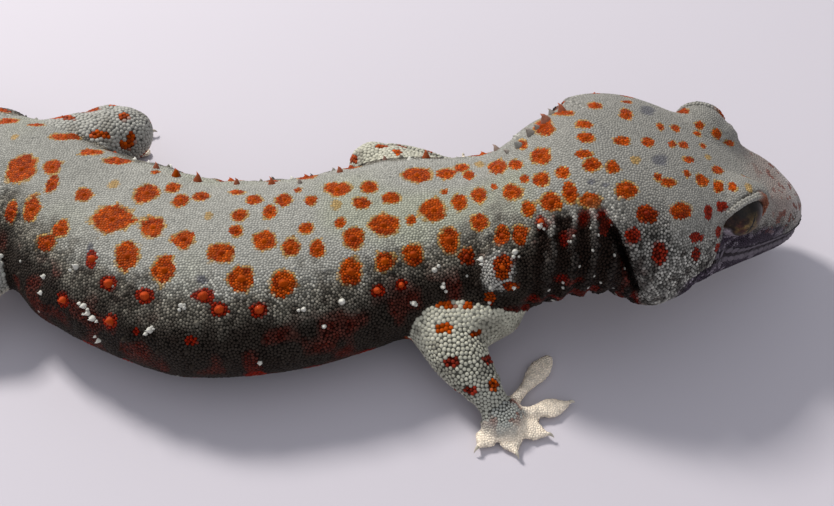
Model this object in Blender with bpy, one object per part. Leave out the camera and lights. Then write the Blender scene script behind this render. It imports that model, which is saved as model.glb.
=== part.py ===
"""A tokay gecko lying on its belly, life size, with the floor at z = 0 and +Z up.

The animal is one long loft from the snout to the tip of the tail, parted into nodes by thin
plane gaps. Legs, feet and toes are lofts of their own that meet it face to face. Sizes are in
millimetres and become metres where a mesh is made. The snout points along +X, and the body
bends to the animal's left, so that its right flank is the long one.
"""

import math
import random
from collections import namedtuple

import bmesh
import bpy
from mathutils import Euler, Matrix, Vector

MM = 0.001
GAP = 0.3
SEED = 7

# Driving sizes of the head. Its own frame has its origin midway between the eyes, x to the
# snout, y to the left and z to the crown.
HEAD_ORIGIN = Vector((59.3, 11.4, 22.6))
HEAD_YAW = math.radians(10.5)
HEAD_PITCH = math.radians(18)
SNOUT_LENGTH = 23.0
HEAD_AXIS_DROP = 7.3
EYE_RADIUS = 5.4
EYE_CENTRE = Vector((-1.2, 10.8, 3.3))
BROW_SIZE = Vector((8.6, 5.2, 4.8))
BROW_CENTRE = Vector((-1.4, 9.2, 4.5))
ORBIT_SIZE = Vector((5.1, 4.7, 4.3))
ORBIT_CENTRE = Vector((-0.8, 17.2, 2.9))
EAR_CENTRE = Vector((-25.4, 22.4, -3.2))
EAR_SIZE = Vector((1.5, 2.8, 2.9))
NOSTRIL_CENTRE = Vector((19.6, 5.9, -1.2))
NOSTRIL_RADIUS = 0.8
LIP_RADIUS = 0.7

# The line of the mouth in the head's frame, as x and z, from the snout to behind the corner.
# From the corner it runs on under the ear to the neck as the plain joint of the lower jaw.
MOUTH_CORNER = -10
MOUTH_LINE = [
    (28, -5.2), (20, -5.2), (14, -5.6), (6, -5.0), (0, -4.2), (-5, -3.6), (-10, -3.8), (-17, -6.4), (-36, -9.4),
]

# Rounded box sections across the head: x in the head's frame, half width, crown above and
# chin below the line between the eyes, and how square the section is.
HeadSection = namedtuple("HeadSection", "x half_width crown chin square")
HEAD = [
    HeadSection(SNOUT_LENGTH, 2.2, -2.8, -7.8, 2.2),
    HeadSection(22.3, 4.2, -1.3, -8.9, 2.4),
    HeadSection(20.6, 6.2, 0.3, -9.7, 2.6),
    HeadSection(18.0, 8.1, 1.9, -10.5, 2.8),
    HeadSection(14.0, 10.0, 3.5, -11.4, 3.0),
    HeadSection(9.2, 12.2, 4.9, -12.2, 3.0),
    HeadSection(4.0, 14.5, 6.0, -13.3, 2.9),
    HeadSection(-1.4, 17.1, 7.2, -14.8, 2.6),
    HeadSection(-7.0, 20.6, 8.6, -16.7, 2.5),
    HeadSection(-12.6, 23.3, 9.3, -18.2, 2.4),
    HeadSection(-18.4, 24.5, 9.4, -19.2, 2.4),
    HeadSection(-24.0, 24.3, 9.0, -19.6, 2.3),
]

# Sections across the neck, trunk and tail: the centre, the half width at its height, how far
# the back rises above it and the belly hangs below it, and how square the section is.
Section = namedtuple("Section", "name x y z half_width top bottom square")
BODY = [
    Section("joint", 31.6, 4.7, 24.6, 22.0, 15.2, 12.2, 2.2),
    Section("nape", 24.6, 3.4, 22.2, 20.3, 13.0, 12.6, 2.15),
    Section("throat", 18.2, 3.6, 17.8, 18.9, 12.0, 13.0, 2.1),
    Section("shoulder", 10.4, 5.2, 14.2, 18.9, 11.8, 13.0, 2.1),
    Section("chest", -3.5, 3.9, 12.2, 20.8, 12.8, 12.6, 2.15),
    Section("rib", -23.3, -2.6, 11.8, 22.3, 13.4, 12.4, 2.2),
    Section("belly", -43.1, -3.9, 11.8, 22.8, 13.5, 12.4, 2.2),
    Section("loin", -64.4, 5.8, 11.4, 20.8, 13.0, 12.0, 2.2),
    Section("groin", -75.2, 15.4, 11.0, 16.8, 12.2, 11.6, 2.2),
    Section("pelvis", -83.4, 24.2, 10.6, 13.8, 11.4, 11.2, 2.15),
    Section("vent", -91.6, 31.4, 9.6, 11.8, 9.9, 10.1, 2.1),
    Section("tail_root", -101.5, 38.6, 8.7, 10.2, 8.9, 9.1, 2.05),
    Section("tail_a", -118.5, 47.2, 7.8, 9.1, 7.9, 8.2, 2.05),
    Section("tail_b", -139.0, 51.6, 6.7, 7.7, 6.7, 7.0, 2.0),
    Section("tail_c", -161.0, 50.6, 5.6, 6.3, 5.6, 5.9, 2.0),
    Section("tail_d", -183.0, 44.6, 4.5, 4.9, 4.4, 4.8, 2.0),
    Section("tail_e", -204.0, 35.4, 3.3, 3.6, 3.3, 3.6, 2.0),
    Section("tail_f", -222.0, 27.0, 2.2, 2.4, 2.2, 2.4, 2.0),
    Section("tail_tip", -233.0, 22.4, 1.2, 1.0, 1.0, 1.1, 2.0),
]

# Where the long loft is parted, and each length's rings across and points round.
Length = namedtuple("Length", "node start end ring_step sides")
LENGTHS = [
    Length("neck", "joint", "shoulder", 4.0, 28),
    Length("torso_front", "shoulder", "belly", 5.0, 28),
    Length("torso_rear", "belly", "vent", 5.0, 28),
    Length("tail_base", "vent", "tail_b", 5.0, 18),
    Length("tail_middle", "tail_b", "tail_d", 5.0, 14),
    Length("tail_tip", "tail_d", "tail_tip", 5.0, 10),
]

# Each limb from its root in the trunk to the middle of its palm, with the tips of its five
# toes on the floor. Radii are at the root, the middle joint, and the wrist or ankle.
Limb = namedtuple("Limb", "name upper lower foot root joint ankle palm radii toes")
LIMBS = [
    Limb(
        "front_right", "upper_arm", "forearm", "hand",
        (19.5, -8.5, 10.5), (4.2, -16.2, 10.2), (13.2, -28.0, 5.4), (16.0, -31.4, 2.5),
        (6.4, 6.1, 4.8),
        [(26.2, -16.4), (28.4, -27.6), (23.8, -34.2), (18.2, -37.6), (12.0, -36.6)],
    ),
    Limb(
        "front_left", "upper_arm", "forearm", "hand",
        (12.0, 16.0, 12.5), (-9.6, 26.6, 12.8), (8.0, 31.6, 5.2), (11.6, 32.6, 2.5),
        (6.4, 5.6, 4.6),
        [(17.4, 24.2), (23.4, 28.4), (24.4, 35.0), (20.2, 41.2), (11.2, 43.2)],
    ),
    Limb(
        "rear_left", "thigh", "shin", "foot",
        (-83.0, 29.0, 11.6), (-64.6, 37.6, 11.8), (-77.6, 46.6, 5.4), (-74.0, 45.4, 2.6),
        (8.0, 6.6, 4.9),
        [(-62.4, 43.2), (-63.4, 49.6), (-69.4, 54.0), (-77.4, 55.6), (-85.6, 52.0)],
    ),
    Limb(
        "rear_right", "thigh", "shin", "foot",
        (-87.0, 19.0, 11.6), (-87.0, -4.2, 12.2), (-102.0, -11.2, 5.4), (-104.4, -15.2, 2.6),
        (8.0, 6.6, 4.9),
        [(-93.2, -18.0), (-96.4, -25.6), (-104.0, -28.6), (-111.6, -25.0), (-115.4, -16.2)],
    ),
]
LIMB_SIDES = 14
TOE_SIDES = 8
# Along a toe: share of its length, half width and half height, with the pad near its end.
TOE_PROFILE = [
    (0.0, 1.7, 1.7), (0.3, 1.35, 1.3), (0.5, 1.7, 1.15), (0.72, 2.4, 1.0), (0.9, 2.4, 0.95), (1.0, 1.9, 0.9),
]
PAD_HEIGHT = 0.85
CLAW_LENGTH = 1.1
CLAW_RADIUS = 0.5
PALM_SIZE = Vector((4.6, 4.4, 2.6))

# Conical tubercles stand in lengthwise rows over the back, flanks and tail.
TUBERCLE_RADIUS = 1.15
TUBERCLE_HEIGHT = 1.15
TUBERCLE_SINK = 0.9
TUBERCLE_SIDES = 5
TORSO_ROW_ANGLES = [78, 56, 34, 14]
TORSO_ROW_STEP = 6.6
TAIL_WHORL_STEP = 7.5
TAIL_ROW_ANGLES = [72, 40, 10]

# A section stands square to the line between the places this many sections before and after
# it, which turns the sections of the arched nape so gradually that they don't cross.
SECTION_TURN_REACH = 1.6

Frame = namedtuple("Frame", "centre ahead side up half_width top bottom square")


def head_matrix():
    """From the head's frame to the floor's, with the snout dipped by the pitch."""
    turn = Euler((0, HEAD_PITCH, HEAD_YAW), "XYZ").to_matrix().to_4x4()
    return Matrix.Translation(HEAD_ORIGIN) @ turn


HEAD_TO_FLOOR = head_matrix()


def sections():
    """Every section of the long loft, snout first, with the head's set into the floor's frame."""
    found = []
    for part in HEAD:
        centre = HEAD_TO_FLOOR @ Vector((part.x, 0, -HEAD_AXIS_DROP))
        top = part.crown + HEAD_AXIS_DROP
        bottom = -part.chin - HEAD_AXIS_DROP
        found.append(Section("head", *centre, part.half_width, top, bottom, part.square))
    return found + BODY


SECTIONS = sections()


def smooth_values(rows, place):
    """The rows' values at a place between them, on a curve that passes through every row."""
    index = min(int(place), len(rows) - 2)
    share = place - index
    before = rows[max(index - 1, 0)]
    first = rows[index]
    second = rows[index + 1]
    after = rows[min(index + 2, len(rows) - 1)]
    values = []
    for a, b, c, d in zip(before, first, second, after):
        slope = (c - a) / 2
        next_slope = (d - b) / 2
        bend = 3 * (c - b) - 2 * slope - next_slope
        twist = 2 * (b - c) + slope + next_slope
        values.append(b + share * (slope + share * (bend + share * twist)))
    return values


def spine_frame(place):
    """The centre, directions and section of the long loft at a place along its sections."""
    rows = [section[1:] for section in SECTIONS]
    values = smooth_values(rows, place)
    ahead_of = smooth_values(rows, max(place - SECTION_TURN_REACH, 0))
    behind = smooth_values(rows, min(place + SECTION_TURN_REACH, len(rows) - 1))
    ahead = (Vector(ahead_of[:3]) - Vector(behind[:3])).normalized()
    side = Vector((0, 0, 1)).cross(ahead).normalized()
    return Frame(Vector(values[:3]), ahead, side, ahead.cross(side), *values[3:])


def section_point(frame, angle, grow=0.0, floor=0.0):
    """A point of a section. The angle runs from the left side up over the back."""
    power = 2 / frame.square
    across = math.copysign(abs(math.cos(angle)) ** power, math.cos(angle))
    rise = math.copysign(abs(math.sin(angle)) ** power, math.sin(angle))
    height = (frame.top if rise > 0 else frame.bottom) + grow
    point = frame.centre + frame.side * across * (frame.half_width + grow) + frame.up * rise * height
    point.z = max(point.z, floor)
    return point


def ring(frame, sides, grow=0.0, floor=0.0):
    return [section_point(frame, 2 * math.pi * i / sides, grow, floor) for i in range(sides)]


def place_of(name):
    return [section.name for section in SECTIONS].index(name)


def places_between(start, end, step):
    """Places along the spine from start to end, about a step apart in millimetres."""
    fine = [start + (end - start) * i / 400 for i in range(401)]
    points = [spine_frame(place).centre for place in fine]
    travelled = [0.0]
    for first, second in zip(points, points[1:]):
        travelled.append(travelled[-1] + (second - first).length)
    count = max(2, round(travelled[-1] / step))
    found = []
    for i in range(count + 1):
        target = travelled[-1] * i / count
        index = min(range(len(fine)), key=lambda j: abs(travelled[j] - target))
        found.append(fine[index])
    return found


def new_object(name, mesh):
    made = bpy.data.objects.new(name, mesh)
    bpy.data.collections["tokay_gecko"].objects.link(made)
    return made


def loft(name, rings):
    """A closed skin over rings of equal count, in order, with a flat face at either end."""
    shape = bmesh.new()
    rows = [[shape.verts.new(point * MM) for point in points] for points in rings]
    count = len(rows[0])
    for first, second in zip(rows, rows[1:]):
        for i in range(count):
            shape.faces.new((first[i], first[(i + 1) % count], second[(i + 1) % count], second[i]))
    shape.faces.new(list(reversed(rows[0])))
    shape.faces.new(rows[-1])
    bmesh.ops.recalc_face_normals(shape, faces=shape.faces)
    mesh = bpy.data.meshes.new(name)
    shape.to_mesh(mesh)
    shape.free()
    return new_object(name, mesh)


def spine_loft(name, places, sides, ends=(0.0, 0.0), grow=0.0, floor=0.0):
    """A length of the long loft, drawn in from each end by so many millimetres."""
    frames = [spine_frame(place) for place in places]
    frames[0] = frames[0]._replace(centre=frames[0].centre - frames[0].ahead * ends[0])
    frames[-1] = frames[-1]._replace(centre=frames[-1].centre + frames[-1].ahead * ends[1])
    return loft(name, [ring(frame, sides, grow, floor) for frame in frames])


def tube_frames(rows, per_row):
    """Frames along a tube of rows of x, y, z, half width and half height, with round ends."""
    places = [i / per_row for i in range(per_row * (len(rows) - 1) + 1)]
    frames = []
    for place in places:
        values = smooth_values(rows, place)
        before = smooth_values(rows, max(place - 0.05, 0))
        after = smooth_values(rows, min(place + 0.05, len(rows) - 1))
        ahead = (Vector(after[:3]) - Vector(before[:3])).normalized()
        side = Vector((0, 0, 1)).cross(ahead).normalized()
        frames.append(Frame(Vector(values[:3]), ahead, side, ahead.cross(side), values[3], values[4], values[4], 2.0))
    return round_end(frames[0], -1)[::-1] + frames + round_end(frames[-1], 1)


def round_end(frame, direction):
    """Shrinking frames that close a tube with a dome past its last frame."""
    found = []
    for degrees in (35, 70):
        turn = math.radians(degrees)
        shrink = math.cos(turn)
        reach = math.sin(turn) * min(frame.half_width, frame.top)
        found.append(
            frame._replace(
                centre=frame.centre + frame.ahead * reach * direction,
                half_width=frame.half_width * shrink,
                top=frame.top * shrink,
                bottom=frame.bottom * shrink,
            )
        )
    return found


def tube(name, rows, sides, grow=0.0, floor=0.0, per_row=3):
    return loft(name, [ring(frame, sides, grow, floor) for frame in tube_frames(rows, per_row)])


def ellipsoid(name, centre, size, turn=None, segments=18, rings=10):
    shape = bmesh.new()
    bmesh.ops.create_uvsphere(shape, u_segments=segments, v_segments=rings, radius=1.0)
    mesh = bpy.data.meshes.new(name)
    shape.to_mesh(mesh)
    shape.free()
    scale = Matrix.Diagonal((*size, 1.0))
    turned = turn.to_4x4() if turn else Matrix.Identity(4)
    mesh.transform(Matrix.Scale(MM, 4) @ Matrix.Translation(centre) @ turned @ scale)
    return new_object(name, mesh)


def cone_between(shape, foot, direction, radius, length, sides, spin=0.0):
    """Adds one closed cone to a bmesh, its foot's middle at foot, in millimetres."""
    turn = direction.to_track_quat("Z", "Y").to_matrix().to_4x4()
    spun = turn @ Matrix.Rotation(spin, 4, "Z")
    matrix = Matrix.Scale(MM, 4) @ Matrix.Translation(foot + direction * length / 2) @ spun
    bmesh.ops.create_cone(
        shape, cap_ends=True, segments=sides, radius1=radius, radius2=0.0, depth=length, matrix=matrix
    )


def keep_largest(target, count=1):
    """Keeps the largest closed surfaces of a mesh object and returns their vertex counts."""
    shape = bmesh.new()
    shape.from_mesh(target.data)
    groups = []
    left = set(shape.verts)
    while left:
        group = [left.pop()]
        for vert in group:
            for edge in vert.link_edges:
                other = edge.other_vert(vert)
                if other in left:
                    left.remove(other)
                    group.append(other)
        groups.append(group)
    groups.sort(key=len, reverse=True)
    for group in groups[count:]:
        bmesh.ops.delete(shape, geom=group, context="VERTS")
    shape.to_mesh(target.data)
    shape.free()


def apply_boolean(target, operation, solver, tool=None, tools=None):
    """Applies one Boolean with an object, or with a collection of objects, and removes them."""
    modifier = target.modifiers.new("shape", "BOOLEAN")
    modifier.operation = operation
    modifier.solver = solver
    if tools is None:
        modifier.object = tool
    else:
        modifier.operand_type = "COLLECTION"
        modifier.collection = tools
    graph = bpy.context.evaluated_depsgraph_get()
    mesh = bpy.data.meshes.new_from_object(target.evaluated_get(graph))
    target.modifiers.clear()
    old = target.data
    target.data = mesh
    bpy.data.meshes.remove(old)
    for used in [tool] if tools is None else list(tools.objects):
        bpy.data.objects.remove(used)
    if tools is not None:
        bpy.data.collections.remove(tools)


def fuse(target, pieces, solver="EXACT"):
    """Joins the pieces to the target as one closed body."""
    joined = bpy.data.collections.new("joined")
    bpy.context.scene.collection.children.link(joined)
    for piece in pieces:
        bpy.data.collections["tokay_gecko"].objects.unlink(piece)
        joined.objects.link(piece)
    apply_boolean(target, "UNION", solver, tools=joined)
    keep_largest(target)


def cut(target, tools, keep=1, solver="EXACT"):
    for tool in tools:
        apply_boolean(target, "DIFFERENCE", solver, tool=tool)
    keep_largest(target, keep)


def mirrored(vector, side):
    return Vector((vector.x, vector.y * side, vector.z))


def in_head(name, centre, size):
    """An ellipsoid whose axes lie along the head's frame."""
    return ellipsoid(name, HEAD_TO_FLOOR @ centre, size, HEAD_TO_FLOOR.to_3x3().normalized())


def mouth_cutter():
    """A sheet as thin as the gap, right through the head along the line of the mouth."""
    upper = [(x, z + GAP / 2) for x, z in MOUTH_LINE]
    lower = [(x, z - GAP / 2) for x, z in MOUTH_LINE]
    outline = upper + lower[::-1]
    rings = [[HEAD_TO_FLOOR @ Vector((x, y, z)) for x, z in outline] for y in (-30, 30)]
    return loft("mouth_cutter", rings)


def mouth_height(x):
    for (ahead_x, ahead_z), (back_x, back_z) in zip(MOUTH_LINE, MOUTH_LINE[1:]):
        if back_x <= x <= ahead_x:
            return back_z + (ahead_z - back_z) * (x - back_x) / (ahead_x - back_x)
    return MOUTH_LINE[0][1]


def head_side(x, height):
    """The point of the head's right side at x and a height in the head's frame."""
    rows = [(part.x, part.half_width, part.crown, part.chin, part.square) for part in HEAD]
    place = next(i for i in range(len(rows) - 1) if rows[i + 1][0] <= x <= rows[i][0])
    share = (rows[place][0] - x) / (rows[place][0] - rows[place + 1][0])
    _, half_width, crown, chin, square = smooth_values(rows, place + share)
    reach = (crown if height > -HEAD_AXIS_DROP else -chin - 2 * HEAD_AXIS_DROP) + HEAD_AXIS_DROP
    rise = min(abs(height + HEAD_AXIS_DROP) / reach, 0.999)
    return half_width * (1 - rise**square) ** (1 / square)


def lip(name, offset, depth):
    """A rounded lip along one side of the mouth's line, right round the snout."""
    stops = [MOUTH_CORNER + 1.5, -3, 2, 7, 12, 16, 19, 20.8]
    right = [Vector((x, -head_side(x, mouth_height(x) + offset) + depth, mouth_height(x) + offset)) for x in stops]
    tip = Vector((SNOUT_LENGTH - 0.9, 0, mouth_height(SNOUT_LENGTH) + offset))
    left = [mirrored(point, -1) for point in reversed(right)]
    curve = bpy.data.curves.new(name, "CURVE")
    curve.dimensions = "3D"
    spline = curve.splines.new("POLY")
    points = right + [tip] + left
    spline.points.add(len(points) - 1)
    for spot, point in zip(spline.points, points):
        spot.co = (*(HEAD_TO_FLOOR @ point * MM), 1)
    curve.bevel_depth = LIP_RADIUS * MM
    curve.bevel_resolution = 1
    curve.use_fill_caps = True
    drawn = new_object(name + "_curve", curve)
    graph = bpy.context.evaluated_depsgraph_get()
    mesh = bpy.data.meshes.new_from_object(drawn.evaluated_get(graph))
    bpy.data.objects.remove(drawn)
    shape = bmesh.new()
    shape.from_mesh(mesh)
    bmesh.ops.remove_doubles(shape, verts=shape.verts, dist=0.00002)
    bmesh.ops.recalc_face_normals(shape, faces=shape.faces)
    shape.to_mesh(mesh)
    shape.free()
    return new_object(name, mesh)


def make_head():
    """The head with its brows, lips, eye sockets, ears and nostrils, parted from the jaw."""
    places = [i * 0.5 for i in range(2 * place_of("joint") + 1)]
    head = spine_loft("head", places, 32, ends=(0, GAP / 2))
    brows = [in_head("brow", mirrored(BROW_CENTRE, side), BROW_SIZE) for side in (1, -1)]
    lips = [lip("upper_lip", LIP_RADIUS * 0.9, 0.45), lip("lower_lip", -LIP_RADIUS * 0.9, 0.45)]
    fuse(head, brows + lips, "MANIFOLD")
    socket = EYE_RADIUS + GAP
    tools = [in_head("socket", mirrored(EYE_CENTRE, side), Vector((socket,) * 3)) for side in (1, -1)]
    tools += [in_head("orbit", mirrored(ORBIT_CENTRE, side), ORBIT_SIZE) for side in (1, -1)]
    tools += [in_head("ear_hole", mirrored(EAR_CENTRE, side), EAR_SIZE) for side in (1, -1)]
    hole = Vector((NOSTRIL_RADIUS, NOSTRIL_RADIUS * 1.4, NOSTRIL_RADIUS))
    tools += [
        ellipsoid("nostril", HEAD_TO_FLOOR @ mirrored(NOSTRIL_CENTRE, side), hole, segments=10, rings=6)
        for side in (1, -1)
    ]
    cut(head, tools, solver="MANIFOLD")
    cut(head, [mouth_cutter()], keep=2, solver="MANIFOLD")
    jaw = head.copy()
    jaw.data = head.data.copy()
    jaw.name = "lower_jaw"
    bpy.data.collections["tokay_gecko"].objects.link(jaw)
    keep_side(head, above=True)
    keep_side(jaw, above=False)
    return [head, jaw]


def keep_side(target, above):
    """Keeps the closed surface whose highest point is higher, or the other one."""
    shape = bmesh.new()
    shape.from_mesh(target.data)
    start = max(shape.verts, key=lambda vert: vert.co.z)
    reached = {start}
    queue = [start]
    for vert in queue:
        for edge in vert.link_edges:
            other = edge.other_vert(vert)
            if other not in reached:
                reached.add(other)
                queue.append(other)
    unwanted = [vert for vert in shape.verts if (vert in reached) != above]
    bmesh.ops.delete(shape, geom=unwanted, context="VERTS")
    shape.to_mesh(target.data)
    shape.free()


def make_eyes():
    names = {1: "eye_left", -1: "eye_right"}
    return [
        ellipsoid(name, HEAD_TO_FLOOR @ mirrored(EYE_CENTRE, side), Vector((EYE_RADIUS,) * 3),
                  HEAD_TO_FLOOR.to_3x3().normalized(), segments=18, rings=10)
        for side, name in names.items()
    ]


def surface_normal(place, angle):
    frame = spine_frame(place)
    here = section_point(frame, angle)
    round_it = section_point(frame, angle + 0.02) - here
    along = section_point(spine_frame(place + 0.01), angle) - here
    return along.cross(round_it).normalized()


def near_limb(point):
    """Whether a point of the trunk is where a limb grows, which carries no tubercles."""
    return any(
        (point - Vector(limb.root)).length < limb.radii[0] * 1.9
        or (point - Vector(limb.joint)).length < limb.radii[1] * 1.7
        for limb in LIMBS
    )


def tubercles(name, start, end, step, row_angles, size, draw):
    """Rows of cones along part of the loft, staggered from row to row and varied in size."""
    shape = bmesh.new()
    places = places_between(start, end, step)
    for row, degrees in enumerate(row_angles):
        for side in (1, -1):
            for index, place in enumerate(places[1:-1]):
                shift = (places[1] - places[0]) * (0.5 * (row % 2) - 0.25 + draw.uniform(-0.12, 0.12))
                spot = place + shift
                angle = math.radians(90 + side * (90 - degrees) + draw.uniform(-2.5, 2.5))
                point = section_point(spine_frame(spot), angle)
                if near_limb(point):
                    continue
                outward = surface_normal(spot, angle)
                backward = -spine_frame(spot).ahead
                scale = size * draw.uniform(0.8, 1.2)
                lean = (outward + backward * 0.25).normalized()
                cone_between(
                    shape, point - lean * TUBERCLE_SINK * scale, lean, TUBERCLE_RADIUS * scale,
                    (TUBERCLE_HEIGHT + TUBERCLE_SINK) * scale, TUBERCLE_SIDES, index + row,
                )
    mesh = bpy.data.meshes.new(name)
    shape.to_mesh(mesh)
    shape.free()
    return new_object(name, mesh)


def make_lengths():
    """The neck, trunk and tail, each length with the tubercles that it carries."""
    made = {}
    draw = random.Random(SEED)
    for length in LENGTHS:
        start = place_of(length.start)
        end = place_of(length.end)
        tail_end = 0 if length.end == "tail_tip" else GAP / 2
        places = places_between(start, end, length.ring_step)
        made[length.node] = spine_loft(length.node, places, length.sides, ends=(GAP / 2, tail_end))
    inset = 0.12
    rows = {
        "neck": (TORSO_ROW_STEP * 0.8, TORSO_ROW_ANGLES, 0.8),
        "torso_front": (TORSO_ROW_STEP, TORSO_ROW_ANGLES, 1.0),
        "torso_rear": (TORSO_ROW_STEP, TORSO_ROW_ANGLES, 1.0),
        "tail_base": (TAIL_WHORL_STEP, TAIL_ROW_ANGLES, 0.95),
        "tail_middle": (TAIL_WHORL_STEP, TAIL_ROW_ANGLES[:2], 0.7),
    }
    for length in LENGTHS:
        if length.node not in rows:
            continue
        step, angles, size = rows[length.node]
        start = place_of(length.start) + inset
        end = place_of(length.end) - inset
        cones = tubercles(length.node + "_tubercles", start, end, step, angles, size, draw)
        fuse(made[length.node], [cones])
    return list(made.values())


def envelope(grow=GAP):
    """The neck, trunk and tail grown by the gap, which limbs are cut clear of."""
    places = places_between(place_of("joint"), place_of("tail_tip"), 3.0)
    return spine_loft("envelope", places, 48, grow=grow, floor=-2.0)


def segment_rows(start, end, start_radius, end_radius, bulge):
    """A limb's segment between two joints, fullest before its middle."""
    start = Vector(start)
    end = Vector(end)
    middle = start.lerp(end, 0.4)
    full = (start_radius * 0.6 + end_radius * 0.4) * bulge
    return [
        (*start, start_radius, start_radius),
        (*middle, full, full),
        (*end, end_radius, end_radius),
    ]


def make_foot(limb):
    """The palm with its five padded toes, flat on the floor. The first toe has no claw."""
    palm_centre = Vector(limb.palm)
    facing = (palm_centre - Vector(limb.ankle)) * Vector((1, 1, 0))
    turn = facing.to_track_quat("X", "Z").to_matrix()
    foot = ellipsoid(limb.foot + "_" + limb.name, palm_centre, PALM_SIZE, turn, 14, 8)
    flatten(foot)
    wrist = tube("wrist", segment_rows(limb.ankle, limb.palm, limb.radii[2] * 0.92, 2.6, 1.0), 12)
    pieces = [wrist]
    claws = bmesh.new()
    for index, (x, y) in enumerate(limb.toes):
        tip = Vector((x, y, PAD_HEIGHT))
        root = palm_centre + (tip - palm_centre) * 0.12
        rows = []
        for share, half_width, half_height in TOE_PROFILE:
            point = root.lerp(tip, share)
            point.z = PAD_HEIGHT + (palm_centre.z - PAD_HEIGHT) * (1 - share) ** 1.5
            rows.append((*point, half_width, half_height))
        pieces.append(tube("toe", rows, TOE_SIDES, per_row=1))
        if index > 0:
            ahead = ((tip - palm_centre) * Vector((1, 1, 0))).normalized()
            lean = (ahead + Vector((0, 0, -0.12))).normalized()
            foot_of_claw = tip + ahead * 0.3 + Vector((0, 0, 0.35))
            cone_between(claws, foot_of_claw, lean, CLAW_RADIUS, CLAW_LENGTH + 1.6, 6)
    mesh = bpy.data.meshes.new("claws")
    claws.to_mesh(mesh)
    claws.free()
    pieces.append(new_object("claws", mesh))
    fuse(foot, pieces)
    return foot


def flatten(target):
    """Presses what lies below the floor up to it."""
    for vert in target.data.vertices:
        vert.co.z = max(vert.co.z, 0.0)


def make_limb(limb):
    """The three segments of a limb, each cut clear of what it grows from."""
    root_radius, joint_radius, ankle_radius = limb.radii
    upper_rows = segment_rows(limb.root, limb.joint, root_radius, joint_radius, 1.1)
    lower_rows = segment_rows(limb.joint, limb.ankle, joint_radius * 0.93, ankle_radius, 1.12)
    upper = tube(limb.upper + "_" + limb.name, upper_rows, LIMB_SIDES)
    lower = tube(limb.lower + "_" + limb.name, lower_rows, LIMB_SIDES)
    foot = make_foot(limb)
    cut(upper, [envelope()])
    cut(lower, [tube("clear", upper_rows, LIMB_SIDES + 6, grow=GAP), envelope()])
    cut(
        foot,
        [
            tube("clear", lower_rows, LIMB_SIDES + 6, grow=GAP),
            tube("clear", upper_rows, LIMB_SIDES + 6, grow=GAP),
            envelope(),
        ],
    )
    return [upper, lower, foot]


def material(name, colour, roughness):
    made = bpy.data.materials.new(name)
    made.use_nodes = True
    shader = made.node_tree.nodes["Principled BSDF"]
    shader.inputs["Base Color"].default_value = (*colour, 1.0)
    shader.inputs["Roughness"].default_value = roughness
    shader.inputs["Metallic"].default_value = 0.0
    return made


def finish(nodes):
    """Colours and shades the nodes, and moves all so that the origin is under the middle."""
    skin = material("spotted_skin", (0.42, 0.50, 0.50), 0.6)
    eye = material("eye", (0.36, 0.30, 0.14), 0.15)
    lows = Vector((1e9,) * 3)
    highs = Vector((-1e9,) * 3)
    for node in nodes:
        for vert in node.data.vertices:
            lows = Vector(map(min, lows, vert.co))
            highs = Vector(map(max, highs, vert.co))
    shift = Vector((-(lows.x + highs.x) / 2, -(lows.y + highs.y) / 2, -lows.z))
    for node in nodes:
        node.data.transform(Matrix.Translation(shift))
        node.data.materials.clear()
        node.data.materials.append(eye if node.name.startswith("eye") else skin)
        node.data.shade_smooth()
        node.data.set_sharp_from_angle(angle=math.radians(40))


def main():
    for old in list(bpy.data.objects):
        bpy.data.objects.remove(old)
    gecko = bpy.data.collections.new("tokay_gecko")
    bpy.context.scene.collection.children.link(gecko)
    nodes = make_head() + make_eyes() + make_lengths()
    for limb in LIMBS:
        nodes += make_limb(limb)
    finish(nodes)


main()
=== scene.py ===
"""A tokay gecko lying on a floor, life size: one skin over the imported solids, and a coat of scales.

Sizes are in millimetres in the design frame, in which the body's sections are set out, and
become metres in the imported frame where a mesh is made. +X is ahead, +Y is the animal's left
and +Z is up. The camera stands on the animal's right.
"""

import math
from collections import namedtuple

import bpy
import numpy as np
from mathutils import Euler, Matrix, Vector
from mathutils.bvhtree import BVHTree
from mathutils.kdtree import KDTree


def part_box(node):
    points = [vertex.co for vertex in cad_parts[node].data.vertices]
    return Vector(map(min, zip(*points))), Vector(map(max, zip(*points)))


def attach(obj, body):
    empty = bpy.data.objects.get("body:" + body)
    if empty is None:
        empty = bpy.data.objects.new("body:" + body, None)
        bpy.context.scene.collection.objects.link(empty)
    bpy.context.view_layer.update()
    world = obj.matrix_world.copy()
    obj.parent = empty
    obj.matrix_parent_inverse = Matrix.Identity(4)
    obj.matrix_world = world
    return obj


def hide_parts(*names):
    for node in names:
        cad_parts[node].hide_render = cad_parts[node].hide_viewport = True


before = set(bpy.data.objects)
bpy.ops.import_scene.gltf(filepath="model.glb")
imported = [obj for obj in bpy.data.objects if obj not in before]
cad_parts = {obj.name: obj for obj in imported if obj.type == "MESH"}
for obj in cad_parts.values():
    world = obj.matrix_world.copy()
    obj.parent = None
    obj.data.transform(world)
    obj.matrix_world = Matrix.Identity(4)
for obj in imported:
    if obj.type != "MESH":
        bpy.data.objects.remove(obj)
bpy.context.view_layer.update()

MM = 0.001
SEED = 11
DRAW = np.random.default_rng(SEED)

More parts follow.
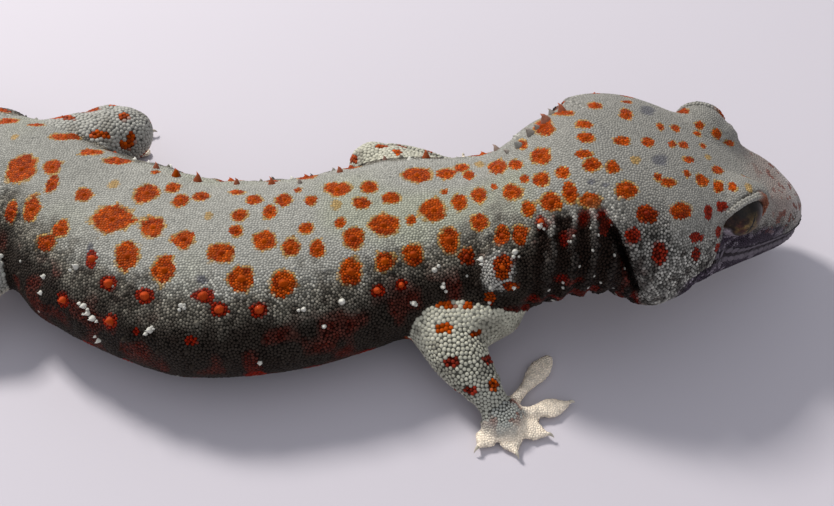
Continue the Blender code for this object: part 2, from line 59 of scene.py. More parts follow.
# The head's own frame has its origin midway between the eyes.
HEAD_ORIGIN = np.array((59.3, 11.4, 22.6))
HEAD_TURN = np.array(Euler((0, math.radians(18), math.radians(10.5)), "XYZ").to_matrix())
HEAD_AXIS_DROP = 7.3
EYE_RADIUS = 5.4
EYE_CENTRE = np.array((-1.2, 10.8, 3.3))
EYE_AXIS = np.array((0.22, 0.95, 0.12)) / np.linalg.norm((0.22, 0.95, 0.12))
EYE_UP = np.array((0, 0, 1)) - EYE_AXIS * EYE_AXIS[2]
EYE_UP = EYE_UP / np.linalg.norm(EYE_UP)
EYE_AHEAD = np.cross(EYE_AXIS, EYE_UP)
# The lids leave an oval open, longer along a line that rises towards the snout.
OPENING_LONG = math.radians(55)
OPENING_SHORT = math.radians(46)
OPENING_TILT = math.radians(42)
LID_THICKNESS = 0.8
# How far from the eye's middle the skin is shaped round it, and how far its markings go.
EYE_HOOD = 12
EYE_PATCH = 9
# The clear front of the eyeball stands out by this much, over this angle from its axis.
CORNEA_RISE = 0.3
CORNEA_REACH = math.radians(48)
# The rows of scales round an eye: share of the opening, how many and their size.
LID_ROWS = [(1.05, 60, 0.45), (1.15, 58, 0.5), (1.27, 46, 0.6)]
COMB_REACH = 1.2
BROW_SIZE = np.array((8.6, 5.2, 4.8))
BROW_CENTRE = np.array((-1.4, 9.2, 4.5))
NOSTRIL_CENTRE = np.array((17.2, 7.2, -0.2))
FAR_HOLLOW = np.array((-31.5, 17.5, 1.5))
SHOULDER_CENTRE = np.array((15.0, -12.8, 23.2))
MOUTH_CORNER = -10
LIP_END = -3.2
SNOUT_TIP = 22.95
LIP_PLATE = 1.6
# The rows of lip plates: height over the mouth's line, and width for their length.
LIP_ROWS = [(0.95, 0.9), (-0.85, 0.62)]
MOUTH_LINE = np.array([
    (28, -5.2), (20, -5.2), (14, -5.6), (6, -5.5), (0, -5.0), (-5, -4.8), (-10, -5.6), (-36, -9.4),
])

# Sections of the head: x, half width, crown, chin and squareness.
HEAD = np.array([
    (23.0, 2.2, -2.8, -7.8, 2.2),
    (22.3, 4.2, -1.3, -8.9, 2.4),
    (20.6, 6.2, 0.3, -9.7, 2.6),
    (18.0, 8.1, 1.9, -10.5, 2.8),
    (14.0, 10.0, 3.5, -11.4, 3.0),
    (9.2, 12.2, 4.9, -12.2, 3.0),
    (4.0, 14.5, 6.0, -13.3, 2.9),
    (-1.4, 17.1, 7.2, -14.8, 2.6),
    (-7.0, 20.6, 8.6, -16.7, 2.5),
    (-12.6, 23.3, 9.3, -18.2, 2.4),
    (-18.4, 24.5, 9.4, -19.2, 2.4),
    (-24.0, 24.3, 9.0, -19.6, 2.3),
])
# Sections of the neck, trunk and tail: centre, half width, rise, drop and squareness.
BODY_NAMES = (
    "joint nape throat shoulder chest rib belly loin groin pelvis vent "
    "tail_root tail_a tail_b tail_c tail_d tail_e tail_f tail_tip"
).split()
BODY = np.array([
    (31.6, 4.7, 24.6, 22.0, 15.2, 12.2, 2.2),
    (24.6, 3.4, 22.2, 20.3, 13.0, 12.6, 2.15),
    (18.2, 3.6, 17.8, 18.9, 12.0, 13.0, 2.1),
    (10.4, 5.2, 14.2, 18.9, 11.8, 13.0, 2.1),
    (-3.5, 3.9, 12.2, 20.8, 12.8, 12.6, 2.15),
    (-23.3, -2.6, 11.8, 22.3, 13.4, 12.4, 2.2),
    (-43.1, -3.9, 11.8, 22.8, 13.5, 12.4, 2.2),
    (-64.4, 5.8, 11.4, 20.8, 13.0, 12.0, 2.2),
    (-75.2, 15.4, 11.0, 16.8, 12.2, 11.6, 2.2),
    (-83.4, 24.2, 10.6, 13.8, 11.4, 11.2, 2.15),
    (-91.6, 31.4, 9.6, 11.8, 9.9, 10.1, 2.1),
    (-101.5, 38.6, 8.7, 10.2, 8.9, 9.1, 2.05),
    (-118.5, 47.2, 7.8, 9.1, 7.9, 8.2, 2.05),
    (-139.0, 51.6, 6.7, 7.7, 6.7, 7.0, 2.0),
    (-161.0, 50.6, 5.6, 6.3, 5.6, 5.9, 2.0),
    (-183.0, 44.6, 4.5, 4.9, 4.4, 4.8, 2.0),
    (-204.0, 35.4, 3.3, 3.6, 3.3, 3.6, 2.0),
    (-222.0, 27.0, 2.2, 2.4, 2.2, 2.4, 2.0),
    (-233.0, 22.4, 1.2, 1.0, 1.0, 1.1, 2.0),
])
SECTION_TURN_REACH = 1.6

Limb = namedtuple("Limb", "name root joint ankle palm radii toes")
LIMBS = [
    Limb(
        "front_right", (15.2, -10.9, 9.8), (4.2, -16.2, 10.2), (13.2, -28.0, 5.4), (16.0, -31.4, 2.5),
        (6.4, 6.1, 4.8),
        [(26.2, -16.4), (28.4, -27.6), (23.8, -34.2), (18.2, -37.6), (12.0, -36.6)],
    ),
    Limb(
        "front_left", (12.0, 16.0, 12.5), (-9.6, 26.6, 12.8), (8.0, 31.6, 5.2), (11.6, 32.6, 2.5),
        (6.4, 5.6, 4.6),
        [(17.4, 24.2), (23.4, 28.4), (24.4, 35.0), (19.4, 39.6), (10.8, 40.6)],
    ),
    Limb(
        "rear_left", (-83.0, 29.0, 11.6), (-64.6, 37.6, 11.8), (-77.6, 46.6, 5.4), (-74.0, 45.4, 2.6),
        (8.0, 6.6, 4.9),
        [(-62.4, 43.2), (-63.4, 49.6), (-69.4, 54.0), (-77.4, 55.6), (-85.6, 52.0)],
    ),
    Limb(
        "rear_right", (-87.0, 19.0, 11.6), (-87.0, -4.2, 12.2), (-102.0, -11.2, 5.4), (-104.4, -15.2, 2.6),
        (8.0, 6.6, 4.9),
        [(-93.2, -18.0), (-96.4, -25.6), (-104.0, -28.6), (-111.6, -25.0), (-115.4, -16.2)],
    ),
]
# Along a toe: share of its length, half width and half height, with the pad near its end.
TOE_PROFILE = [
    (0, 1.6, 1.7), (0.3, 1.15, 1.2), (0.48, 1.4, 1.1), (0.68, 2.3, 0.95), (0.84, 2.25, 0.9), (1.0, 1.2, 0.8),
]
# The toe's last joint and its claw, from where they leave the pad: distance, half width and height.
TOE_END = [(-1.5, 0.75, 0.7), (0, 0.65, 0.6), (1.3, 0.5, 0.45)]
# Along a claw: share of its length, and radius.
CLAW_PROFILE = [(0, 0.40), (0.35, 0.33), (0.7, 0.2), (1.0, 0.06)]
CLAW_START = 1.0
CLAW_LENGTH = 1.0
CLAW_DROP = 0.75
PAD_HEIGHT = 0.85
PALM_SIZE = (4.6, 4.4, 2.6)
PALM_RADIUS = 2.6
TOE_RADIUS = 2.2
# A limb's segments swell by these shares at this share of their length.
SWELL_AT = 0.4
THIGH_SWELL = 1.08
CALF_SWELL = 1.1

VOXEL = 0.56
COAT_DEPTH = 0.3
# The folds of the neck lean back by this much for their height. The rest are lengths of a wave.
NECK_LEAN = 0.19
NECK_FOLD = 3.9
FLANK_FOLD = 7.5
TAIL_RING = 6.4
TAIL_BAND = 19.0

# The floor's reach, and each light's name, place, size, power and colour, in metres and watts.
FLOOR_REACH = 4.0
LIGHTS = [
    ("key", (-0.38, 0.50, 0.66), 0.18, 9.8, (1.0, 0.97, 0.93)),
    ("fill", (0.5, -0.9, 0.7), 1.2, 1.6, (0.92, 0.94, 1.0)),
]
SKY = (0.86, 0.88, 0.95, 1)
SKY_STRENGTH = 0.60

# The photograph's camera: its frame, its height and how far it stands from its target.
PICTURE = (834, 506)
FOCUS = 1200
SENSOR_WIDTH = 36
CAMERA_ELEVATION = math.radians(48)
CAMERA_DISTANCE = 240
RAY_REACH = 400
TARGET = np.array((0, 0, 14.0))
CAMERA_RIGHT = np.array((1.0, 0, 0))
CAMERA_UP = np.array((0, math.sin(CAMERA_ELEVATION), math.cos(CAMERA_ELEVATION)))
CAMERA_BACK = np.array((0, -math.cos(CAMERA_ELEVATION), math.sin(CAMERA_ELEVATION)))
CAMERA_PLACE = TARGET + CAMERA_BACK * CAMERA_DISTANCE

# Markings read off the photograph: the middle of each in its pixels and its two half widths.
ORANGE = [
    (9, 121, 9, 5), (36, 125, 7, 4), (62, 117, 13, 5), (93, 111, 8, 5), (124, 117, 5, 4),
    (99, 134, 9, 4), (126, 146, 7, 4), (132, 138, 4, 6), (65, 137, 11, 7), (92, 152, 10, 8),
    (118, 161, 12, 6.5), (22, 169, 14, 13), (52, 167, 8, 7), (52, 184, 5, 9), (84, 194.5, 8, 6.5),
    (112, 219, 19, 12), (153, 227, 11, 10.5), (184, 239, 10, 8.5), (147, 193, 11, 9),
    (173, 188, 7, 6), (181, 200, 7.5, 6), (201, 196, 8, 6), (156, 172, 4, 3), (237, 192, 7, 4),
    (254, 199.5, 7.5, 5.5), (272, 181, 7, 5), (284.5, 199.5, 7.5, 6), (239, 215, 7.5, 6),
    (236, 231, 7, 6), (270, 212, 6.5, 6.5), (298, 190, 3.5, 3.5), (311, 200, 6, 5),
    (337.5, 189, 13, 7), (369, 187, 8, 6.5), (391, 197.5, 8.5, 6), (361.5, 203, 8, 5),
    (307, 228, 7, 5.5), (340, 223, 5.5, 5.5), (383.5, 225, 13, 10), (353, 238, 10, 10),
    (411, 220, 5, 5), (417, 175, 13, 8), (264, 241, 10.5, 9), (290.5, 247, 8.5, 8.5),
    (317.5, 249, 7, 9), (221, 253, 12.5, 9.5), (127, 256, 12, 12), (164, 270, 10.5, 12),
    (241.5, 278.5, 11.5, 12.5), (283.5, 283, 12.5, 12.5), (351, 272, 12, 13), (384.5, 261, 8.5, 10),
    (413.5, 254.5, 10, 11), (32, 208.5, 8, 11), (11, 212, 7, 10), (60.5, 229, 8, 8), (47, 243, 10, 8),
    (433.5, 209.5, 12, 11), (459.5, 202.5, 7.5, 8), (444.5, 192, 3, 3), (446.5, 173.5, 8, 6.5),
    (462, 167.5, 7, 5), (469, 175, 5, 5), (497.5, 166.5, 8, 7), (515, 164.5, 6, 5),
    (479, 195.5, 7, 7.5), (479, 222, 7.5, 8), (494, 187, 3, 3), (512, 192, 8, 8),
    (524, 179, 4.5, 4.5), (528, 208.5, 6.5, 8), (449, 240, 9, 13), (467, 256.5, 7.5, 9),
    (502.5, 236, 7, 10), (519.5, 236, 6, 10), (502.5, 267.5, 9, 13), (511, 287, 8, 5),
    (540, 155.5, 8.5, 8), (541.5, 179.5, 7.5, 6.5), (563, 173, 6, 6), (551, 201.5, 10, 9),
    (569.5, 192.5, 7, 10), (589.5, 201, 10, 7), (542.5, 126.5, 8, 9), (563, 112.5, 8, 5),
    (521, 144.5, 5, 5), (595, 105.5, 7, 7), (584, 124, 8.5, 4), (585.5, 137.5, 9, 5),
    (584, 154, 7.5, 4), (591.5, 164.5, 8.5, 6.5), (612.5, 166.5, 6.5, 6.5), (622.5, 140.5, 8, 4.5),
    (648.5, 142, 6, 5), (626.5, 114.5, 6, 6.5), (627.5, 102, 5, 3), (640, 98.5, 3, 3),
    (665.5, 101.5, 3, 3), (682.5, 111, 5, 4), (660.5, 126.5, 3.5, 3.5), (675.5, 128, 4.5, 4),
    (699.5, 125, 4.5, 4), (697, 134, 4.5, 3), (672.5, 144, 3.5, 3.5), (683.5, 145, 5, 4),
    (717, 134, 5, 5), (729.5, 143, 7, 2.5), (703, 146, 3.5, 2.5), (689, 159.5, 5.5, 3),
    (717.5, 170, 6, 4), (687, 173.5, 3.5, 3.5), (702, 180, 6.5, 6), (658, 177.5, 4, 4),
    (668.5, 183, 8, 4), (718.5, 186.5, 5, 6), (733, 186.5, 4, 4), (627, 189.5, 11, 8.5),
    (646.5, 213.5, 11, 9), (682, 211.5, 12, 8), (446.5, 304.5, 9, 3), (468, 305, 6, 3),
    (444.5, 328, 8.5, 5.5), (474.5, 334, 5.5, 4), (491, 296.5, 5, 5), (494, 384, 5.5, 5.5),
    (353, 159, 6, 5), (381, 147, 6, 3), (398, 152, 5, 3),
]
RED = [
    (108.5, 283.5, 8.5, 8), (144.5, 296, 9, 8), (219, 309.5, 8.5, 8), (259, 309.5, 9, 8),
    (377, 290.5, 7, 6), (401, 285, 6, 6), (63, 300, 6, 8), (110, 321, 8, 8), (136, 331, 4, 4),
    (191, 341, 6, 5), (708.5, 211.5, 5, 8), (721, 206.5, 5, 5), (695.5, 237, 7.5, 5),
    (634.5, 236, 8, 9), (659, 253.5, 8, 12), (695.5, 255, 6, 7), (718.5, 231.5, 4, 6),
    (717, 248, 6, 5), (451, 361.5, 8, 6), (490, 357.5, 7, 5), (470.5, 390.5, 6, 4), (541, 222, 5, 8),
    (604, 228, 5, 9), (92, 259, 5, 9), (203, 296, 11, 7),
]
YELLOW = [
    (15, 137, 4, 3), (114, 184, 6, 5), (208, 216, 5, 5), (336, 205, 6, 6), (480, 164.5, 6, 4),
    (708.5, 157, 4, 3), (635.5, 160, 6, 5), (749, 187, 4, 5),
]
GREY = [
    (648, 110, 9, 7), (660, 160, 9, 7), (591, 182, 4, 4), (606, 185, 4, 3), (90, 248, 3, 5),
    (201.5, 279.5, 6, 5),
]
# Spikes along the far outline: the pixels where they stand, their radius and how grey they are.
OUTLINE_SPIKES = [
    (156, 168, 0.9, 0.2), (176, 176, 1.2, 0.0), (198, 181, 1.2, 0.1), (237, 184, 0.9, 0.2),
    (272, 184, 1.0, 0.1), (340, 172, 0.9, 0.2), (426, 158, 1.2, 0.1), (447, 157, 1.2, 0.0),
    (471, 156, 1.0, 1.0), (497, 150, 0.9, 0.7), (519, 146, 1.1, 1.0), (531, 134, 1.2, 0.9),
    (546, 121, 1.3, 0.3), (562, 111, 1.1, 0.2), (300, 183, 0.7, 0.8), (385, 160, 0.7, 0.5),
    (552, 114, 0.9, 0.9), (538, 128, 0.8, 0.8), (508, 152, 0.7, 0.9),
]
WHITE_TUBERCLES = [
    (76, 267), (181, 305.5), (150, 330), (99.5, 340), (88, 313), (303.5, 309.5), (342, 301.5),
    (413.5, 303), (443, 287), (434.5, 270), (515, 252), (482, 260), (84, 306), (93, 318), (540, 226),
    (471.5, 150), (518.5, 138),
]


def srgb(red, green, blue):
    """A colour as it looks on a screen, from 0 to 255, as linear light."""
    return (np.array((red, green, blue)) / 255) ** 2.2


PALE = srgb(157, 156, 148)
WARM = srgb(160, 163, 141)
# The flanks' grey-brown, darker than their own colour: partly painted shade. The limbs' dark patches use it
# too.
FLANK = srgb(112, 108, 98)
SHADE = srgb(42, 34, 30)
BELLY = srgb(184, 178, 164)
CREAM = srgb(244, 229, 208)
ARM = srgb(182, 180, 163)
FOREARM = srgb(132, 136, 136)
CROWN = srgb(140, 138, 131)
SNOUT = srgb(144, 132, 125)
NOSE = srgb(160, 153, 148)
MASK = srgb(58, 50, 60)
LIP = srgb(120, 112, 120)
TEMPLE = srgb(182, 180, 172)
TAIL_DARK = srgb(78, 78, 78)
ORANGE_TINT = srgb(162, 69, 0)
ORANGE_DEEP = srgb(108, 33, 0)
# The spots' dark red: partly their own red and partly painted shade, for spots on the shaded lower sides.
RED_TINT = srgb(120, 30, 8)
CONE_TINT = srgb(172, 66, 30)
YELLOW_TINT = srgb(164, 126, 52)
GREY_TINT = srgb(92, 92, 98)
WHITE_TINT = srgb(206, 204, 194)
SPECK = srgb(112, 62, 50)
LID_TINT = srgb(122, 62, 34)
CLAW_TINT = srgb(186, 178, 162)
FLOOR_TINT = srgb(190, 185, 192)
# The iris: its dark and light marbling, the brown in it, its outer ring, a painted reflection along
# its lower front edge, the border of the slit, and the slit.
IRIS_DARK = srgb(52, 38, 28)
IRIS_LIGHT = srgb(100, 80, 48)
IRIS_BROWN = srgb(64, 34, 28)
IRIS_RING = srgb(36, 28, 24)
IRIS_REFLECTION = srgb(150, 140, 148)
SLIT_BORDER = srgb(140, 122, 78)
SLIT = srgb(10, 8, 8)
SLIT_HEIGHT = 2.8
# Along the body: where the trunk is painted darker near the nape and the hip; at the hip this is painted
# shade beside the thigh.
NAPE_ARC = 63
HIP_ARC = 160


def smoothstep(low, high, value):
    share = np.clip((value - low) / (high - low), 0, 1)
    return share * share * (3 - 2 * share)


def mixed(first, second, share):
    return first + (second - first) * np.asarray(share)[..., None]


def unit(vectors):
    return vectors / np.maximum(np.linalg.norm(vectors, axis=-1, keepdims=True), 1e-9)


def noise(points, size, seed=0):
    """Smooth noise from -1 to 1, whose lumps are about size across."""
    at = points / size + 500.0
    cell = np.floor(at).astype(np.int64)
    share = at - cell
    share = share * share * (3 - 2 * share)
    total = np.zeros(len(points))
    for corner in np.ndindex(2, 2, 2):
        weight = np.prod(np.where(corner, share, 1 - share), axis=1)
        x, y, z = (cell + corner).T
        mix = (x * 73856093) ^ (y * 19349663) ^ (z * 83492791) ^ (seed * 2654435761)
        mix = ((mix ^ (mix >> 13)) * 1274126177) & 0xFFFFFFFF
        total += weight * (((mix ^ (mix >> 15)) & 0xFFFF) / 0xFFFF)
    return 2 * total - 1


def to_floor(points):
    return points @ HEAD_TURN.T + HEAD_ORIGIN


def to_head(points):
    return (points - HEAD_ORIGIN) @ HEAD_TURN


def mirrored(point, side):
    return np.array((point[0], point[1] * side, point[2]))


def smooth_rows(rows, places):
    """The rows' values at places between them, on a curve that passes through every row."""
    rows = np.asarray(rows, float)
    places = np.asarray(places, float)
    index = np.minimum(places.astype(int), len(rows) - 2)
    share = (places - index)[:, None]
    before = rows[np.maximum(index - 1, 0)]
    first = rows[index]
    second = rows[index + 1]
    after = rows[np.minimum(index + 2, len(rows) - 1)]
    slope = (second - before) / 2
    next_slope = (after - first) / 2
    bend = 3 * (second - first) - 2 * slope - next_slope
    twist = 2 * (first - second) + slope + next_slope
    return first + share * (slope + share * (bend + share * twist))


def all_sections():
    centres = to_floor(np.c_[HEAD[:, 0], np.zeros(len(HEAD)), np.full(len(HEAD), -HEAD_AXIS_DROP)])
    top = HEAD[:, 2] + HEAD_AXIS_DROP
    bottom = -HEAD[:, 3] - HEAD_AXIS_DROP
    return np.vstack([np.c_[centres, HEAD[:, 1], top, bottom, HEAD[:, 4]], BODY])


SECTIONS = all_sections()
LAST_PLACE = len(SECTIONS) - 1
Spine = namedtuple("Spine", "centre ahead side up half_width top bottom square")


def place_of(name):
    return len(HEAD) + BODY_NAMES.index(name)


def spine_at(places):
    values = smooth_rows(SECTIONS, places)
    front = smooth_rows(SECTIONS, np.maximum(places - SECTION_TURN_REACH, 0))[:, :3]
    rear = smooth_rows(SECTIONS, np.minimum(places + SECTION_TURN_REACH, LAST_PLACE))[:, :3]
    ahead = unit(front - rear)
    side = unit(np.cross((0, 0, 1), ahead))
    return Spine(values[:, :3], ahead, side, np.cross(ahead, side), *values[:, 3:].T)


def section_rings(spine, sides):
    """Rings of points round the spine, each angle running from the left side over the back."""
    angles = np.arange(sides) * 2 * math.pi / sides
    power = (2 / spine.square)[:, None]
    across = np.sign(np.cos(angles)) * np.abs(np.cos(angles)) ** power * spine.half_width[:, None]
    height = np.where(np.sin(angles) > 0, spine.top[:, None], spine.bottom[:, None])
    rise = np.sign(np.sin(angles)) * np.abs(np.sin(angles)) ** power * height
    rings = spine.centre[:, None] + spine.side[:, None] * across[..., None]
    rings = rings + spine.up[:, None] * rise[..., None]
    rings[..., 2] = np.maximum(rings[..., 2], 0)
    return rings


def tube_rings(rows, per_row, sides):
    """Rings along a tube of rows of x, y, z, half width and half height, with domed ends."""
    places = np.linspace(0, len(rows) - 1, per_row * (len(rows) - 1) + 1)
    values = smooth_rows(rows, places)
    front = smooth_rows(rows, np.maximum(places - 0.05, 0))[:, :3]
    rear = smooth_rows(rows, np.minimum(places + 0.05, len(rows) - 1))[:, :3]
    ahead = unit(rear - front)
    side = unit(np.cross((0, 0, 1), ahead))
    up = np.cross(ahead, side)
    angles = np.arange(sides) * 2 * math.pi / sides
    circle = np.cos(angles)[:, None] * side[:, None] * values[:, 3, None, None]
    circle = circle + np.sin(angles)[:, None] * up[:, None] * values[:, 4, None, None]
    rings = list(values[:, None, :3] + circle)
    for end, direction in ((0, -1), (-1, 1)):
        reach = min(values[end, 3:5]) * direction
        for turn in np.radians((25, 50, 75)):
            middle = values[end, :3] + ahead[end] * reach * math.sin(turn)
            ring = middle + circle[end] * math.cos(turn)
            rings.insert(0, ring) if direction < 0 else rings.append(ring)
    rings = np.array(rings)
    rings[..., 2] = np.maximum(rings[..., 2], 0)
    return rings


class Shape:
    """Points and faces that are gathered from many closed pieces."""

    def __init__(self):
        self.points = []
        self.faces = []
        self.count = 0

    def add(self, points, faces):
        self.points.append(np.asarray(points, float))
        self.faces += [tuple(self.count + i for i in face) for face in faces]
        self.count += len(points)

    def add_rings(self, rings):
        """A closed skin over rings, with a fan of faces over either end."""
        rows, sides = rings.shape[:2]
        points = np.vstack([rings.reshape(-1, 3), rings[0].mean(0), rings[-1].mean(0)])
        faces = []
        for row in range(rows - 1):
            low, high = row * sides, (row + 1) * sides
            for i in range(sides):
                j = (i + 1) % sides
                faces.append((low + i, low + j, high + j, high + i))
        first, last = rows * sides, rows * sides + 1
        faces += [(first, (i + 1) % sides, i) for i in range(sides)]
        base = (rows - 1) * sides
        faces += [(last, base + i, base + (i + 1) % sides) for i in range(sides)]
        self.add(points, faces)

    def add_ball(self, centre, size, turn=np.eye(3), segments=32, rings=20):
        turns = np.linspace(0.001, math.pi - 0.001, rings)
        angles = np.arange(segments) * 2 * math.pi / segments
        ball = np.stack([
            np.sin(turns)[:, None] * np.cos(angles), np.sin(turns)[:, None] * np.sin(angles),
            np.repeat(np.cos(turns)[:, None], segments, 1),
        ], axis=-1)
        self.add_rings((ball * size) @ np.asarray(turn).T + centre)

    def all_points(self):
        return np.vstack(self.points)


def limb_tubes(limb):
    """The limb's tubes as rows of centre, half width and half height: two segments and the wrist."""
    root, joint, ankle, palm = (np.array(p) for p in (limb.root, limb.joint, limb.ankle, limb.palm))
    first, second, third = limb.radii
    full = (first * 0.6 + second * 0.4) * THIGH_SWELL
    start = second * 0.93
    calf = (start * 0.6 + third * 0.4) * CALF_SWELL
    upper = [
        (*root, first, first),
        (*(root + (joint - root) * SWELL_AT), full, full),
        (*joint, second * 0.98, second * 0.98),
    ]
    lower = [
        (*joint, start, start),
        (*(joint + (ankle - joint) * SWELL_AT), calf, calf),
        (*(joint + (ankle - joint) * 0.8), third * 0.98, third * 0.92),
        (*ankle, third * 0.86, third * 0.8),
    ]
    wrist = [
        (*ankle, third * 0.85, third * 0.8),
        (*(ankle * 0.5 + palm * 0.5), 3.4, 2.9),
        (*palm, 3.0, 2.4),
    ]
    return upper, lower, wrist


def toe_rows(limb, toe):
    palm = np.array(limb.palm)
    tip = np.array((*toe, PAD_HEIGHT))
    root = palm + (tip - palm) * 0.12
    rows = []
    for share, half_width, half_height in TOE_PROFILE:
        point = root + (tip - root) * share
        point[2] = PAD_HEIGHT + (palm[2] - PAD_HEIGHT) * (1 - share) ** 1.5
        rows.append((*point, half_width, half_height))
    return rows


def claw_root(limb, toe):
    """Where a toe's last joint leaves the pad, and the way that it points."""
    ahead = unit((np.array((*toe, 0)) - np.array(limb.palm)) * (1, 1, 0))
    return np.array((*toe, PAD_HEIGHT + 0.5)) + ahead * 0.2, ahead


def raw_skin():
    """Every tube and ball of flesh, overlapping, before they become one skin."""
    shape = Shape()
    shape.add_rings(section_rings(spine_at(np.arange(0, LAST_PLACE + 0.01, 0.125)), 80))
    for side in (1, -1):
        shape.add_ball(to_floor(mirrored(EYE_CENTRE, side)), np.full(3, EYE_RADIUS + 0.15), HEAD_TURN)
        shape.add_ball(to_floor(mirrored(BROW_CENTRE, side)), BROW_SIZE, HEAD_TURN)
    for limb in LIMBS:
        for rows in limb_tubes(limb):
            shape.add_rings(tube_rings(rows, 6, 28))
        facing = unit((np.array(limb.palm) - np.array(limb.ankle)) * (1, 1, 0))
        turn = np.c_[facing, np.cross((0, 0, 1), facing), (0, 0, 1)]
        shape.add_ball(np.array(limb.palm), PALM_SIZE, turn)
        for index, toe in enumerate(limb.toes):
            shape.add_rings(tube_rings(toe_rows(limb, toe), 3, 20))
            if index > 0:
                start, ahead = claw_root(limb, toe)
                rows = [(*(start + ahead * out), wide, high) for out, wide, high in TOE_END]
                shape.add_rings(tube_rings(rows, 3, 12))
    return shape


def new_object(name, mesh):
    made = bpy.data.objects.new(name, mesh)
    bpy.context.scene.collection.objects.link(made)
    return made


def evaluated_mesh(target):
    graph = bpy.context.evaluated_depsgraph_get()
    return bpy.data.meshes.new_from_object(target.evaluated_get(graph))


def read_points(mesh):
    flat = np.empty(len(mesh.vertices) * 3, np.float32)
    mesh.vertices.foreach_get("co", flat)
    return flat.reshape(-1, 3).astype(float) / MM


def discard(target):
    mesh = target.data
    bpy.data.objects.remove(target)
    bpy.data.meshes.remove(mesh)


def one_skin(shape):
    """The overlapping pieces as one closed surface of small squares: points, squares and edges."""
    mesh = bpy.data.meshes.new("raw")
    mesh.from_pydata((shape.all_points() * MM).tolist(), [], shape.faces)
    raw = new_object("raw", mesh)
    modifier = raw.modifiers.new("remesh", "REMESH")
    modifier.mode = "VOXEL"
    modifier.voxel_size = VOXEL * MM
    skin = evaluated_mesh(raw)
    points = read_points(skin)
    quads = np.array([tuple(face.vertices) for face in skin.polygons])
    edges = np.empty(len(skin.edges) * 2, np.int32)
    skin.edges.foreach_get("vertices", edges)
    discard(raw)
    bpy.data.meshes.remove(skin)
    return points, quads, edges.reshape(-1, 2)


def relaxed(points, edges, weight, rounds):
    """Draws each point towards the middle of its neighbours, by its own weight."""
    count = np.bincount(edges.ravel(), minlength=len(points))
    for _ in range(rounds):
        total = np.empty_like(points)
        for axis in range(3):
            values = points[:, axis]
            total[:, axis] = np.bincount(edges[:, 0], values[edges[:, 1]], len(points))
            total[:, axis] += np.bincount(edges[:, 1], values[edges[:, 0]], len(points))
        points = points + weight[:, None] * (total / count[:, None] - points)
    return points


def point_normals(points, quads):
    across = np.cross(points[quads[:, 2]] - points[quads[:, 0]], points[quads[:, 3]] - points[quads[:, 1]])
    normals = np.empty_like(points)
    for axis in range(3):
        normals[:, axis] = sum(np.bincount(quads[:, k], across[:, axis], len(points)) for k in range(4))
    return unit(normals)


# What a point of the skin belongs to. limb is 0 on the long body and then 1 to 4; along runs
# 0 to 1 down the limb's first segment, to 2 down its second, to 3 at the palm, to 4 at a toe's tip.
Where = namedtuple("Where", "place arc rise across limb along round_it ahead head")
SPINE_STEPS = 1500
SPINE_PLACES = np.linspace(0, LAST_PLACE, SPINE_STEPS)
SPINE = spine_at(SPINE_PLACES)
ARC = np.r_[0, np.cumsum(np.linalg.norm(np.diff(SPINE.centre, axis=0), axis=1))]


def arc_of(place):
    return float(np.interp(place, SPINE_PLACES, ARC))


def limb_bones():
    """Straight pieces down every limb: limb number, start, end, radii, and along at both ends."""
    bones = []
    for number, limb in enumerate(LIMBS, start=1):
        stops = [np.array(stop) for stop in (limb.root, limb.joint, limb.ankle, limb.palm)]
        radii = [*limb.radii, PALM_RADIUS]
        for i in range(3):
            bones.append((number, stops[i], stops[i + 1], radii[i], radii[i + 1], i, i + 1))
        for toe in limb.toes:
            bones.append((number, stops[3], np.array((*toe, PAD_HEIGHT)), TOE_RADIUS, TOE_RADIUS, 3, 4))
    return bones


def nearest_steps(points):
    """The number of the spine's step that lies nearest to each point."""
    tree = KDTree(SPINE_STEPS)
    for i, centre in enumerate(SPINE.centre):
        tree.insert(centre, i)
    tree.balance()
    return np.array([tree.find(point)[1] for point in points.tolist()])


def locate(points):
    """Where points of the skin lie on the body. The trunk's left side is turned up a little."""
    index = nearest_steps(points)
    offset = points - SPINE.centre[index]
    across = np.sum(offset * SPINE.side[index], axis=1) / SPINE.half_width[index]
    lift = np.sum(offset * SPINE.up[index], axis=1)
    height = np.where(lift > 0, SPINE.top[index], SPINE.bottom[index])
    lift = lift / height
    ratio = np.hypot(across, lift)
    depth = (ratio - 1) * np.minimum(SPINE.half_width[index], height)
    limb = np.zeros(len(points), int)
    along = np.zeros(len(points))
    ahead = SPINE.ahead[index].copy()
    round_it = np.arctan2(lift, across)
    for number, start, end, first, second, low, high in limb_bones():
        bone = end - start
        share = np.clip((points - start) @ bone / (bone @ bone), 0, 1)
        away = points - (start + share[:, None] * bone)
        gap = np.linalg.norm(away, axis=1) - (first + (second - first) * share)
        closer = gap < depth - 0.25
        depth = np.where(closer, gap, depth)
        limb[closer] = number
        along[closer] = (low + (high - low) * share)[closer]
        ahead[closer] = unit(-bone)
        side = unit(np.cross((0, 0, 1), bone))
        turn = np.arctan2(away[:, 2], away @ side)
        round_it[closer] = turn[closer]
    head = to_head(points)
    rise = np.clip(lift / np.maximum(ratio, 1e-6), -1, 1)
    on_trunk = (head[:, 0] < -30) & (SPINE_PLACES[index] < place_of("vent"))
    turned_up = smoothstep(0, 0.5, across) * smoothstep(0.05, 0.5, rise) * on_trunk
    rise = np.minimum(rise + 0.24 * turned_up, 1)
    return Where(SPINE_PLACES[index], ARC[index], rise, across, limb, along, round_it, ahead, head)


def head_axes(where):
    """The points' places in the head's frame, both sides of the head as one."""
    return where.head[:, 0], np.abs(where.head[:, 1]), where.head[:, 2]


def nostril_gap(x, y, z):
    return np.linalg.norm(np.c_[x, y, z] - NOSTRIL_CENTRE, axis=1)


def head_share(where):
    """How far points of the long body belong to the head, from 0 to 1."""
    return smoothstep(arc_of(place_of("nape")), arc_of(place_of("joint")) - 4, where.arc)


def mouth_height(x):
    return np.interp(x, MOUTH_LINE[::-1, 0], MOUTH_LINE[::-1, 1])


